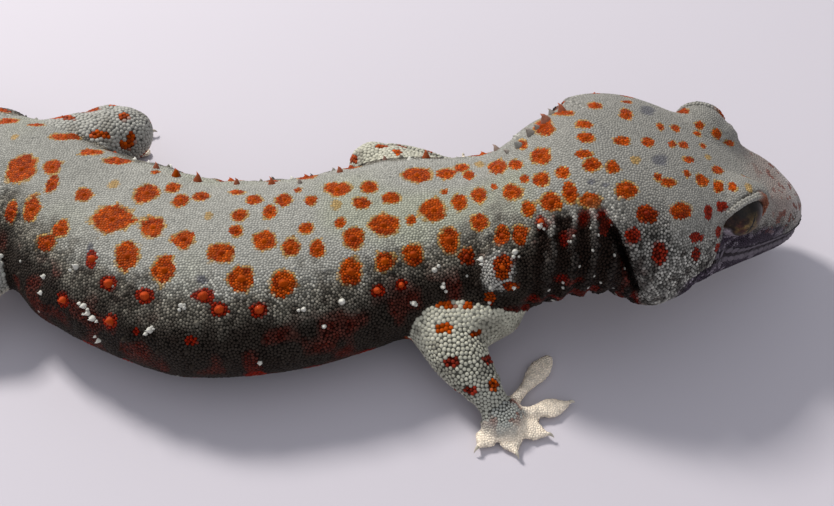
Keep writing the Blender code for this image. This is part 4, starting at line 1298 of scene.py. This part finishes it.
def scale_roots():
    """Where every small scale grows: points, normals, spacing and where they lie."""
    middles = SKIN_POINTS[SKIN_QUADS].mean(1)
    spacing = scale_spacing(SKIN_WHERE)[SKIN_QUADS].mean(1)
    _, distance, reach = eye_angles(to_head(middles))
    under_eye = (distance < EYE_PATCH) & (reach < 0.93)
    nearest = np.argmin(np.abs(spacing[:, None] - np.array(SOWN_SIZES)), axis=1)
    found = []
    for number, size in enumerate(SOWN_SIZES):
        faces = np.flatnonzero((nearest == number) & ~under_eye)
        if len(faces):
            found.append(scattered(faces, size / SOWN_CLOSER, SEED + number))
    points, normals = on_skin(np.vstack(found))
    spacing = scale_spacing(locate(points))
    points, normals = spread_out(points, spacing, PUSH_ROUNDS)
    where = locate(points)
    return points, normals, scale_spacing(where), where


# Plates are a ring at the root, a ring near the top and a middle point, in their own frame:
# along the body, across it and out from the skin, in shares of the scale's size.
Pattern = namedtuple("Pattern", "points faces shade")


def pattern(rings, sides, tip):
    """A closed cap of rings of radius and height, with its shades from the root to the tip: painted shade at
    the root and a slight painted highlight at the tip.
    """
    points = []
    shade = []
    for number, (radius, height, dark) in enumerate(rings):
        for i in range(sides):
            angle = 2 * math.pi * (i + 0.5 * (number % 2)) / sides
            points.append((radius * math.cos(angle), radius * math.sin(angle), height))
            shade.append(dark)
    points.append((tip[0], 0, tip[1]))
    shade.append(tip[2])
    faces = []
    for number in range(len(rings) - 1):
        for i in range(sides):
            j = (i + 1) % sides
            low, high = number * sides, (number + 1) * sides
            if number % 2 == 0:
                faces += [(low + i, low + j, high + i), (low + j, high + j, high + i)]
            else:
                faces += [(low + i, low + j, high + j), (low + i, high + j, high + i)]
    last = (len(rings) - 1) * sides
    faces += [(last + i, last + (i + 1) % sides, last + sides) for i in range(sides)]
    return Pattern(np.array(points), np.array(faces), np.array(shade))


# Each ring's last number is its painted shade: dark at the foot, and a little over 1 at the tip for a slight
# painted highlight.
GRANULE = pattern([(0.65, -0.16, 0.30), (0.57, 0.14, 0.94)], 6, (0.05, 0.23, 1.06))
TUBERCLE = pattern([(1.0, -0.3, 0.40), (0.66, 0.26, 0.85), (0.28, 0.70, 1.0)], 8, (0.32, 1.0, 1.12))
LABIAL = pattern([(0.60, -0.10, 0.45), (0.55, 0.08, 0.95), (0.34, 0.13, 1.0)], 8, (0.0, 0.14, 1.02))

# A coat's scales: where they stand and lie, their shape, and how much paler they are than the gaps, whose
# dark is painted shade.
Coat = namedtuple("Coat", "roots normals lies sizes widths tapers heights tilts tints contrast")

# On the unwrap: the left and lower corner, width and height of the body's island and the limbs'.
ISLANDS = np.array([
    (0.01, 0.52, 0.98, 0.46),
    (0.01, 0.02, 0.23, 0.46),
    (0.26, 0.02, 0.23, 0.46),
    (0.51, 0.02, 0.23, 0.46),
    (0.76, 0.02, 0.22, 0.46),
])
PATCH = 0.003


def coat_of(roots, normals, lies, tints, **rest):
    """A coat whose other values are given for each scale, or as one number for them all."""
    spread = {name: np.broadcast_to(np.asarray(value, float), len(roots)) for name, value in rest.items()}
    return Coat(roots=roots, normals=normals, lies=lies, tints=tints, **spread)


def picked(record, members):
    """Some of the members of a record of arrays."""
    return type(record)(*(values[members] for values in record))


def unwrap(where):
    """Where each point falls on an unwrap of the skin: the body and each limb opened out flat."""
    corner = ISLANDS[where.limb]
    down = np.where(where.limb > 0, where.along / 4, where.arc / ARC[-1])
    turn = (where.round_it + math.pi) / (2 * math.pi)
    return np.c_[corner[:, 0] + corner[:, 2] * down, corner[:, 1] + corner[:, 3] * turn]


def mesh_of(name, points, triangles, tints, flat):
    """A mesh from arrays, with its tints as a colour of each point and its flat map."""
    mesh = bpy.data.meshes.new(name)
    mesh.vertices.add(len(points))
    mesh.vertices.foreach_set("co", place_in_frame(points).astype(np.float32).ravel())
    sides = triangles.shape[1]
    mesh.loops.add(triangles.size)
    mesh.loops.foreach_set("vertex_index", triangles.astype(np.int32).ravel())
    mesh.polygons.add(len(triangles))
    mesh.polygons.foreach_set("loop_start", np.arange(0, triangles.size, sides, dtype=np.int32))
    mesh.update(calc_edges=True)
    mesh.polygons.foreach_set("use_smooth", np.ones(len(triangles), bool))
    layer = mesh.color_attributes.new("tint", "FLOAT_COLOR", "POINT")
    layer.data.foreach_set("color", np.c_[tints, np.ones(len(points))].astype(np.float32).ravel())
    if flat is not None:
        uv = mesh.uv_layers.new(name="OFBake")
        uv.data.foreach_set("uv", flat[triangles.ravel()].astype(np.float32).ravel())
    mesh.update()
    return mesh


EYE_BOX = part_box("eye_right")
SHIFT = (np.array(EYE_BOX[0]) + np.array(EYE_BOX[1])) / 2 / MM - to_floor(mirrored(EYE_CENTRE, -1))
SHIFT[2] = 0


def place_in_frame(points):
    return (points + SHIFT) * MM


def coat_mesh(name, kind, coat, where):
    """One mesh of many scales of a kind, standing on their roots along the lie of the coat."""
    count = len(coat.roots)
    lies = unit(coat.lies - coat.normals * np.sum(coat.lies * coat.normals, axis=1)[:, None])
    sides = np.cross(coat.normals, lies)
    shape = kind.points[None] * coat.sizes[:, None, None]
    shape = shape * (1 + 0.07 * DRAW.standard_normal((count, len(kind.points), 1)).clip(-1.5, 1.5))
    shape[:, kind.points[:, 2] > 0, :2] *= coat.tapers[:, None, None]
    shape[..., 1] *= coat.widths[:, None]
    shape[..., 2] *= coat.heights[:, None]
    lift = np.maximum(kind.points[:, 2], 0) / kind.points[:, 2].max()
    shape[..., 2] += lift * shape[..., 0] * coat.tilts[:, None]
    points = coat.roots[:, None] + shape[..., :1] * lies[:, None] + shape[..., 1:2] * sides[:, None]
    points = (points + shape[..., 2:] * coat.normals[:, None]).reshape(-1, 3)
    points[:, 2] = np.maximum(points[:, 2], 0.0)
    faces = (kind.faces[None] + (np.arange(count) * len(kind.points))[:, None, None]).reshape(-1, 3)
    # The scales' feet are painted darker and their tips a little paler: painted shade and painted highlight.
    shade = 1 + (kind.shade[None] - 1) * coat.contrast[:, None]
    tints = (coat.tints[:, None] * shade[..., None]).reshape(-1, 3)
    reach = np.abs(kind.points[:, :2]).max()
    patch = kind.points[:, :2] / reach * PATCH / 2
    flat = (unwrap(where)[:, None] + patch[None]).reshape(-1, 2)
    return mesh_of(name, points, faces, np.clip(tints, 0, 1), flat)


def set_inputs(node, values):
    for name, value in values.items():
        node.inputs[name].default_value = value


def add_node(tree, kind, values=None, **settings):
    """A node with constant values on its inputs, by their names, and with its own settings."""
    node = tree.nodes.new(kind)
    set_inputs(node, values or {})
    for name, setting in settings.items():
        setattr(node, name, setting)
    return node


def new_material(name, values):
    """A material with constant values on its shader's inputs, with its tree and its shader."""
    material = bpy.data.materials.new(name)
    material.use_nodes = True
    shader = material.node_tree.nodes["Principled BSDF"]
    set_inputs(shader, values)
    return material, material.node_tree, shader


def marbled(tree, shader, grain_values, low, high):
    """Colours a shader with its points' tint times a noise, and gives the noise and the colour."""
    tint = add_node(tree, "ShaderNodeAttribute", attribute_name="tint")
    place = add_node(tree, "ShaderNodeTexCoord")
    grain = add_node(tree, "ShaderNodeTexNoise", grain_values)
    level = {"From Min": low[0], "From Max": high[0], "To Min": low[1], "To Max": high[1]}
    spread = add_node(tree, "ShaderNodeMapRange", level)
    product = add_node(tree, "ShaderNodeVectorMath", operation="MULTIPLY")
    tree.links.new(place.outputs["Object"], grain.inputs["Vector"])
    tree.links.new(grain.outputs["Fac"], spread.inputs["Value"])
    tree.links.new(tint.outputs["Color"], product.inputs[0])
    tree.links.new(spread.outputs["Result"], product.inputs[1])
    tree.links.new(product.outputs["Vector"], shader.inputs["Base Color"])
    return grain.outputs["Fac"], product.outputs["Vector"]


def pelt_material(name, roughness, fine, depth):
    """Horny skin: the tint of its points, broken up finely, with a fine grain in relief."""
    material, tree, shader = new_material(name, {"Specular IOR Level": 0.3})
    grain, colour = marbled(tree, shader, {"Scale": fine, "Detail": 3}, (0.3, 0.82), (0.7, 1.12))
    relief = add_node(tree, "ShaderNodeBump", {"Strength": 0.35, "Distance": depth})
    rough = add_node(tree, "ShaderNodeMapRange", {"To Min": roughness - 0.1, "To Max": roughness + 0.12})
    tree.links.new(colour, shader.inputs["Specular Tint"])
    tree.links.new(grain, rough.inputs["Value"])
    tree.links.new(rough.outputs["Result"], shader.inputs["Roughness"])
    tree.links.new(grain, relief.inputs["Height"])
    tree.links.new(relief.outputs["Normal"], shader.inputs["Normal"])
    return material


FLESH_NODES = [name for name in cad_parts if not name.startswith("eye_")]
SCALE_MATERIAL = pelt_material("horny_scales", 0.55, 2600, 0.00004)
SKIN_MATERIAL = pelt_material("skin_between_scales", 0.6, 1500, 0.00008)


def finish_piece(name, mesh, material):
    piece = new_object(name, mesh)
    piece.data.materials.append(material)
    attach(piece, "root")
    return piece


def make_skin():
    tints = pelt_tint(SKIN_POINTS, SKIN_NORMALS, SKIN_WHERE)
    # The skin between the scales is painted darker: painted shade in the gaps.
    tints = tints * (1 - 0.84 * painted_gap_shade(SKIN_WHERE) ** 1.3)[:, None]
    mesh = mesh_of("skin", SKIN_POINTS, SKIN_QUADS, tints, None)
    skin = finish_piece("skin", mesh, SKIN_MATERIAL)
    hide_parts(*FLESH_NODES)
    return skin


def add_coat(name, kind, coat, where):
    finish_piece(name, coat_mesh(name, kind, coat, where), SCALE_MATERIAL)


def scale_tints(roots, normals, where):
    """Each scale's own colour: the pelt's, with light and dark ones scattered where they show."""
    tints = pelt_tint(roots, normals, where)
    tints = tints * (1 + 0.08 * DRAW.standard_normal((len(roots), 1)).clip(-2, 2))
    chance = DRAW.random(len(roots))
    x = where.head[:, 0]
    low = smoothstep(0.82, 0.6, where.rise) * smoothstep(-0.85, -0.6, where.rise) * (where.limb == 0)
    crests = neck_side(where) * neck_wave(where)
    white = chance < low * (0.003 + 0.02 * crests) * (x < -8)
    tints[white] = mixed(tints[white], WHITE_TINT, np.full(white.sum(), 0.6))
    pepper = 0.5 * bump(where.rise - 0.72, 0.16) * (where.limb == 0) * (x < -28)
    temple = smoothstep(0.74, 0.5, where.rise) * smoothstep(0, -4, x) * (x > -28)
    pepper += 0.4 * temple * (where.limb == 0)
    vivid = smoothstep(2.5, 5.0, tints[:, 0] / np.maximum(tints[:, 2], 0.002))
    pepper = np.maximum(pepper * (1 - vivid), 0.26 * vivid)
    tints *= 1 + pepper[:, None] * DRAW.standard_normal((len(roots), 1)).clip(-1.3, 1.8)
    return tints


def keep_scale(where):
    """Leaves out small scales where lips, eyes, nostrils and ears are."""
    x, y, z = head_axes(where)
    mouth = z - mouth_height(x)
    on_lips = (where.limb == 0) & (x > LIP_END) & (mouth > -1.35) & (mouth < 1.7)
    ear = jowl_fold(where) * bump(z + 3.0, 4.5) > 0.75
    _, distance, reach = eye_angles(where.head)
    in_eye = (distance < EYE_PATCH) & (reach < 1.02)
    return ~(on_lips | (nostril_gap(x, y, z) < 0.8) | in_eye | ear)


def make_scales():
    roots, normals, spacing, where = scale_roots()
    keep = keep_scale(where)
    roots, normals, spacing = roots[keep], normals[keep], spacing[keep]
    where = picked(where, keep)
    tints = scale_tints(roots, normals, where)
    heights = relief_height(where) * DRAW.uniform(0.85, 1.2, len(roots))
    sizes = spacing * DRAW.uniform(0.92, 1.06, len(roots))
    under = smoothstep(-0.6, -0.85, where.rise) * (where.limb == 0)
    lies = unit(-where.ahead + normals * np.sum(where.ahead * normals, axis=1)[:, None])
    sides = np.cross(normals, lies)
    turns = lattice_turns(roots, lies, sides, spacing)[:, None]
    coat = coat_of(
        roots, normals, lies * np.cos(turns) + sides * np.sin(turns), tints,
        sizes=sizes, widths=1, tapers=relief_taper(where), heights=heights,
        tilts=0.12 + 0.16 * under, contrast=painted_gap_shade(where),
    )
    print("scales", len(roots))
    add_scales(coat, where)


def add_scales(coat, where):
    """Makes the scales of each region, in pieces that lie one behind the other."""
    region = coat_regions(where)
    for name in sorted(set(region)):
        members = np.flatnonzero(region == name)
        members = members[np.argsort(where.arc[members], kind="stable")]
        parts = math.ceil(len(members) / SCALES_PER_PIECE)
        for number, some in enumerate(np.array_split(members, parts), start=1):
            add_coat(f"scales_{name}_{number}", GRANULE, picked(coat, some), picked(where, some))


def coat_regions(where):
    names = np.full(len(where.limb), "torso", dtype=object)
    names[where.place < place_of("nape")] = "head"
    names[(where.place >= place_of("nape")) & (where.place < place_of("shoulder"))] = "neck"
    names[where.place > place_of("vent")] = "tail"
    for number, limb in enumerate(LIMBS, start=1):
        names[where.limb == number] = limb.name
    return names


# A tubercle: its root, radius, height against its radius, its tint or None for the pelt's, and
# how much darker its foot is than its tip, as painted shade.
Cone = namedtuple("Cone", "root size height tint contrast")


# Along the body, the rows of small tubercles stand this far apart, and each has one near these
# angles from the left side over the back. They keep away from the tubercles of the photograph.
ROW_GAP = 5.2
ROW_DEGREES = (14, 30, 48, 68, 112, 132, 150, 166)
CONE_GAP = 3.4


def seen_cones():
    """The tubercles that can be told apart in the photograph."""
    cones = []
    places = locate(np.array([spot.centre for spot in SPOTS]))
    for spot, rise, ahead in zip(SPOTS, places.rise, places.head[:, 0]):
        half = (np.linalg.norm(spot.first) + np.linalg.norm(spot.second)) / 2
        on_jowl = spot.kind == "red" and ahead > -33
        if half < 1.05 or rise < 0.25 or on_jowl:
            continue
        if spot.kind == "orange":
            share = 0.36 + 0.14 * bump(rise - 0.85, 0.12)
            cones.append(Cone(spot.centre, share * min(half, 2.2), 0.75, None, 0.4))
        elif spot.kind == "red":
            cones.append(Cone(spot.centre, 0.72 * min(half, 1.9), 1.0, CONE_TINT, 0.9))
    for x, y in WHITE_TUBERCLES:
        root, _ = seen_at(x, y)
        if root is None:
            continue
        cones.append(Cone(root, DRAW.uniform(0.65, 0.85), 1.6, WHITE_TINT, 0.9))
        for _ in range(DRAW.integers(1, 4)):
            beside = CAMERA_RIGHT * DRAW.uniform(-1.2, 1.2) + CAMERA_UP * DRAW.uniform(-0.9, 0.9)
            cones.append(Cone(root + beside, DRAW.uniform(0.35, 0.55), 1.5, WHITE_TINT, 0.9))
    for x, y, size, grey in OUTLINE_SPIKES:
        root, _ = seen_at(x, y)
        if root is not None:
            cones.append(Cone(root, size, 1.5, mixed(ORANGE_TINT, PALE, grey) * 0.75, 0.7))
    return cones


def row_cones(taken):
    """Loose rows of smaller tubercles over the back, the flanks and the tail."""
    start, end = arc_of(place_of("nape")), arc_of(place_of("tail_e"))
    cones = []
    for index, arc in enumerate(np.arange(start, end, ROW_GAP)):
        ring = section_rings(spine_at(np.array([np.interp(arc, ARC, SPINE_PLACES)])), 360)[0]
        for degrees in ROW_DEGREES:
            angle = degrees + 10 * (index % 2) + DRAW.uniform(-5, 5)
            root = ring[int(angle) % 360] + DRAW.uniform(-1, 1, 3)
            if any(np.linalg.norm(root - cone.root) < CONE_GAP for cone in taken):
                continue
            low = not 38 < angle < 142
            white = low and DRAW.random() < 0.3
            size = DRAW.uniform(0.5, 0.78) if low else DRAW.uniform(0.45, 0.65)
            cones.append(Cone(root, size, 1.1 if low else 0.8, WHITE_TINT if white else None, 0.9))
    return cones


def make_tubercles():
    cones = seen_cones()
    cones += row_cones(cones)
    roots, normals = on_skin(np.array([cone.root for cone in cones]))
    where = locate(roots)
    own = pelt_tint(roots, normals, where) * 1.08
    tints = np.array([pelt if cone.tint is None else cone.tint for cone, pelt in zip(cones, own)])
    tints = tints * DRAW.uniform(0.88, 1.1, (len(cones), 1))
    taper = 1 - 0.5 * smoothstep(arc_of(place_of("tail_a")), arc_of(place_of("tail_e")), where.arc)
    sizes = np.array([cone.size for cone in cones]) * np.where(where.limb > 0, 0.7, taper)
    heights = np.array([cone.height for cone in cones]) * np.where(where.limb > 0, 0.6, 1.0)
    coat = coat_of(
        roots, normals, -where.ahead, tints,
        sizes=sizes, widths=0.95, tapers=1, heights=heights,
        tilts=0.15, contrast=[cone.contrast for cone in cones],
    )
    keep = (where.head[:, 0] < -20) & (where.along < 2.6)
    add_coat("tubercles", TUBERCLE, picked(coat, keep), picked(where, keep))


def rim_points(reach, count):
    """Points round an eye's lids in the head's frame, at a share of the opening."""
    turns = np.linspace(-math.pi, math.pi, count, endpoint=False)
    angle = reach / np.hypot(np.cos(turns) / OPENING_LONG, np.sin(turns) / OPENING_SHORT)
    turns = turns + OPENING_TILT
    across = np.cos(turns)[:, None] * EYE_AHEAD + np.sin(turns)[:, None] * EYE_UP
    directions = EYE_AXIS * np.cos(angle)[:, None] + across * np.sin(angle)[:, None]
    return EYE_CENTRE + directions * (EYE_RADIUS + 1.0), across @ EYE_UP


def make_lids():
    """Rows of small scales round each eye, with a comb of points over the brow."""
    roots, lies, sizes, heights = [], [], [], []
    for side in (1, -1):
        for reach, count, size in LID_ROWS:
            comb = reach > COMB_REACH
            for point, up in zip(*rim_points(reach, count)):
                if comb and up < 0.25:
                    continue
                out = point - EYE_CENTRE
                roots.append(mirrored(point, side))
                lies.append(mirrored(out - EYE_AXIS * (out @ EYE_AXIS), side))
                sizes.append(size)
                heights.append(0.8 + 0.9 * max(up, 0) + (0.6 if comb else 0))
    roots, normals = on_skin(to_floor(np.array(roots)))
    where = locate(roots)
    coat = coat_of(
        roots, normals, np.array(lies) @ HEAD_TURN.T, pelt_tint(roots, normals, where),
        sizes=sizes, widths=0.95, tapers=0.85, heights=heights, tilts=0.3, contrast=0.7,
    )
    add_coat("eyelid_scales", GRANULE, coat, where)


def head_side(x, height):
    """How far out the head's side lies at x and at a height in its frame."""
    place = np.interp(-x, -HEAD[:, 0], np.arange(len(HEAD)))
    _, half_width, crown, chin, square = smooth_rows(HEAD, np.array([place]))[0]
    above = height > -HEAD_AXIS_DROP
    reach = (crown if above else -chin - 2 * HEAD_AXIS_DROP) + HEAD_AXIS_DROP
    rise = min(abs(height + HEAD_AXIS_DROP) / reach, 0.999)
    return half_width * (1 - rise**square) ** (1 / square)


def lip_plates(row):
    """Places of the plates along one lip, from one corner round the snout to the other."""
    ahead = np.linspace(LIP_END, SNOUT_TIP, 160)
    right = np.array([(x, -head_side(x, mouth_height(x) + row), mouth_height(x) + row) for x in ahead])
    run = np.vstack([right, (right * (1, -1, 1))[::-1]])
    arc = np.r_[0, np.cumsum(np.linalg.norm(np.diff(run, axis=0), axis=1))]
    count = int(arc[-1] / LIP_PLATE)
    stops = (np.arange(count) + 0.5) * arc[-1] / count
    places = np.column_stack([np.interp(stops, arc, run[:, axis]) for axis in range(3)])
    after = np.column_stack([np.interp(stops + 0.3, arc, run[:, axis]) for axis in range(3)])
    return places, after - places


def make_lips():
    """The plates along both lips."""
    roots, lies, widths = [], [], []
    for row, width in LIP_ROWS:
        places, along = lip_plates(row)
        roots.append(places)
        lies.append(along)
        widths += [width] * len(places)
    roots, normals = on_skin(to_floor(np.vstack(roots)))
    tints = LIP * 0.58 * DRAW.uniform(0.9, 1.1, (len(roots), 1))
    coat = coat_of(
        roots, normals, np.vstack(lies) @ HEAD_TURN.T, tints,
        sizes=LIP_PLATE / 0.98, widths=widths, tapers=1, heights=0.22, tilts=0, contrast=0.4,
    )
    add_coat("lip_plates", LABIAL, coat, locate(roots))


def ball_points(segments, rings):
    """A ball's points and triangles, its poles on its third axis."""
    turns = np.linspace(0, math.pi, rings + 1)[1:-1]
    angles = np.arange(segments) * 2 * math.pi / segments
    rows = [(math.sin(t) * math.cos(a), math.sin(t) * math.sin(a), math.cos(t))
            for t in turns for a in angles]
    points = np.array([(0, 0, 1.0)] + rows + [(0, 0, -1.0)])
    faces = [(0, 1 + i, 1 + (i + 1) % segments) for i in range(segments)]
    for row in range(rings - 2):
        low, high = 1 + row * segments, 1 + (row + 1) * segments
        for i in range(segments):
            j = (i + 1) % segments
            faces += [(low + i, high + i, high + j), (low + i, high + j, low + j)]
    base, last = 1 + (rings - 2) * segments, len(points) - 1
    faces += [(base + i, last, base + (i + 1) % segments) for i in range(segments)]
    return points, np.array(faces)


def eye_material():
    """A marbled iris, wet all over. The tint holds its rings and its slit."""
    wet = {"Roughness": 0.4, "Specular IOR Level": 0.12, "Coat Weight": 0.15, "Coat Roughness": 0.05}
    material, tree, shader = new_material("wet_eye", wet)
    veins = {"Scale": 1400, "Detail": 6, "Distortion": 1.2}
    marbled(tree, shader, veins, (0.38, 0.5), (0.62, 1.35))
    return material


def iris_tint(u, v, reach):
    """The eye's colour at u ahead and v up from its middle, where reach is 1 at the lids' edge."""
    spots = np.c_[u, v, np.zeros(len(u))]
    olive = mixed(IRIS_DARK, IRIS_LIGHT, smoothstep(-0.4, 0.5, noise(spots, 0.7, 81)))
    tint = mixed(olive, IRIS_BROWN, 0.8 * smoothstep(0.0, 0.6, noise(spots, 1.3, 82)))
    # A painted reflection along the lower front of the iris's edge.
    reflection_side = smoothstep(0.8, -0.6, v - 0.6 * u)
    tint = mixed(tint, IRIS_RING, 0.8 * smoothstep(0.55, 0.68, reach))
    tint = mixed(tint, IRIS_REFLECTION, smoothstep(0.69, 0.77, reach) * reflection_side)
    beside = np.abs(u) - 0.2 * (1 - (v / SLIT_HEIGHT) ** 2) * (1 + 0.45 * np.cos(v * 4.6))
    in_reach = np.abs(v) < SLIT_HEIGHT
    tint = mixed(tint, SLIT_BORDER, 0.3 * (smoothstep(0.34, 0.14, beside) * in_reach))
    tint = mixed(tint, SLIT, smoothstep(0.1, 0.0, beside) * in_reach)
    # The upper iris is painted darker: painted shade under the brow.
    return tint * (1 - 0.65 * smoothstep(-0.3, 2.6, v))[:, None]


def make_eyes():
    material = eye_material()
    points, faces = ball_points(96, 72)
    bulge = CORNEA_RISE * smoothstep(math.cos(CORNEA_REACH), 1.0, points[:, 2])
    ball = points * (EYE_RADIUS + bulge)[:, None]
    in_head = ball[:, :1] * EYE_AHEAD + ball[:, 1:2] * EYE_UP + ball[:, 2:] * EYE_AXIS + EYE_CENTRE
    tints = iris_tint(ball[:, 0], ball[:, 1], eye_angles(in_head)[2])
    for side, name in ((1, "left"), (-1, "right")):
        order = faces if side < 0 else faces[:, ::-1]
        mesh = mesh_of("eyeball_" + name, to_floor(in_head * (1, side, 1)), order, tints, None)
        eye = finish_piece("eyeball_" + name, mesh, material)
        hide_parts("eye_" + name)


def make_claws():
    """A short curved claw at the end of each toe but the first."""
    shape = Shape()
    for limb in LIMBS:
        for toe in limb.toes[1:]:
            start, ahead = claw_root(limb, toe)
            rows = []
            for share, radius in CLAW_PROFILE:
                point = start + ahead * (CLAW_START + CLAW_LENGTH * share)
                point[2] = start[2] + 0.15 - CLAW_DROP * share**2
                rows.append((*point, radius * 0.8, radius))
            shape.add_rings(tube_rings(rows, 3, 10))
    points = shape.all_points()
    triangles = np.array([t for face in shape.faces for t in fan(face)])
    tints = np.tile(CLAW_TINT, (len(points), 1)) * (1 + 0.15 * noise(points, 0.5, 91))[:, None]
    material = pelt_material("claw_horn", 0.32, 900, 0.00003)
    finish_piece("claws", mesh_of("claws", points, triangles, tints, None), material)


def fan(face):
    return [(face[0], face[i], face[i + 1]) for i in range(1, len(face) - 1)]


def make_floor():
    mesh = bpy.data.meshes.new("floor")
    corners = [(x * FLOOR_REACH, y * FLOOR_REACH, 0) for x, y in ((-1, -1), (1, -1), (1, 1), (-1, 1))]
    mesh.from_pydata(corners, [], [(0, 1, 2, 3)])
    floor = new_object("floor", mesh)
    matt = {"Base Color": (*FLOOR_TINT, 1), "Roughness": 0.8}
    mesh.materials.append(new_material("pale_floor", matt)[0])


def add_light(name, place, size, power, colour):
    """A square lamp that faces the middle of the animal."""
    data = bpy.data.lights.new(name, "AREA")
    data.size = size
    data.energy = power
    data.color = colour
    light = new_object(name, data)
    light.location = place
    way = Vector(place_in_frame(TARGET)) - Vector(place)
    light.rotation_euler = way.to_track_quat("-Z", "Y").to_euler()


def add_camera():
    data = bpy.data.cameras.new("camera")
    data.sensor_width = SENSOR_WIDTH
    data.lens = SENSOR_WIDTH * FOCUS / PICTURE[0]
    data.clip_start = 0.01
    camera = new_object("camera", data)
    camera.location = place_in_frame(CAMERA_PLACE)
    camera.rotation_euler = (math.pi / 2 - CAMERA_ELEVATION, 0, 0)
    bpy.context.scene.camera = camera


def make_stage():
    make_floor()
    for light in LIGHTS:
        add_light(*light)
    world = bpy.data.worlds.new("studio")
    bpy.context.scene.world = world
    world.use_nodes = True
    set_inputs(world.node_tree.nodes["Background"], {"Color": SKY, "Strength": SKY_STRENGTH})
    add_camera()
    bpy.context.scene.view_settings.view_transform = "Standard"


make_stage()
make_skin()
make_scales()
make_tubercles()
make_lids()
make_lips()
make_eyes()
make_claws()
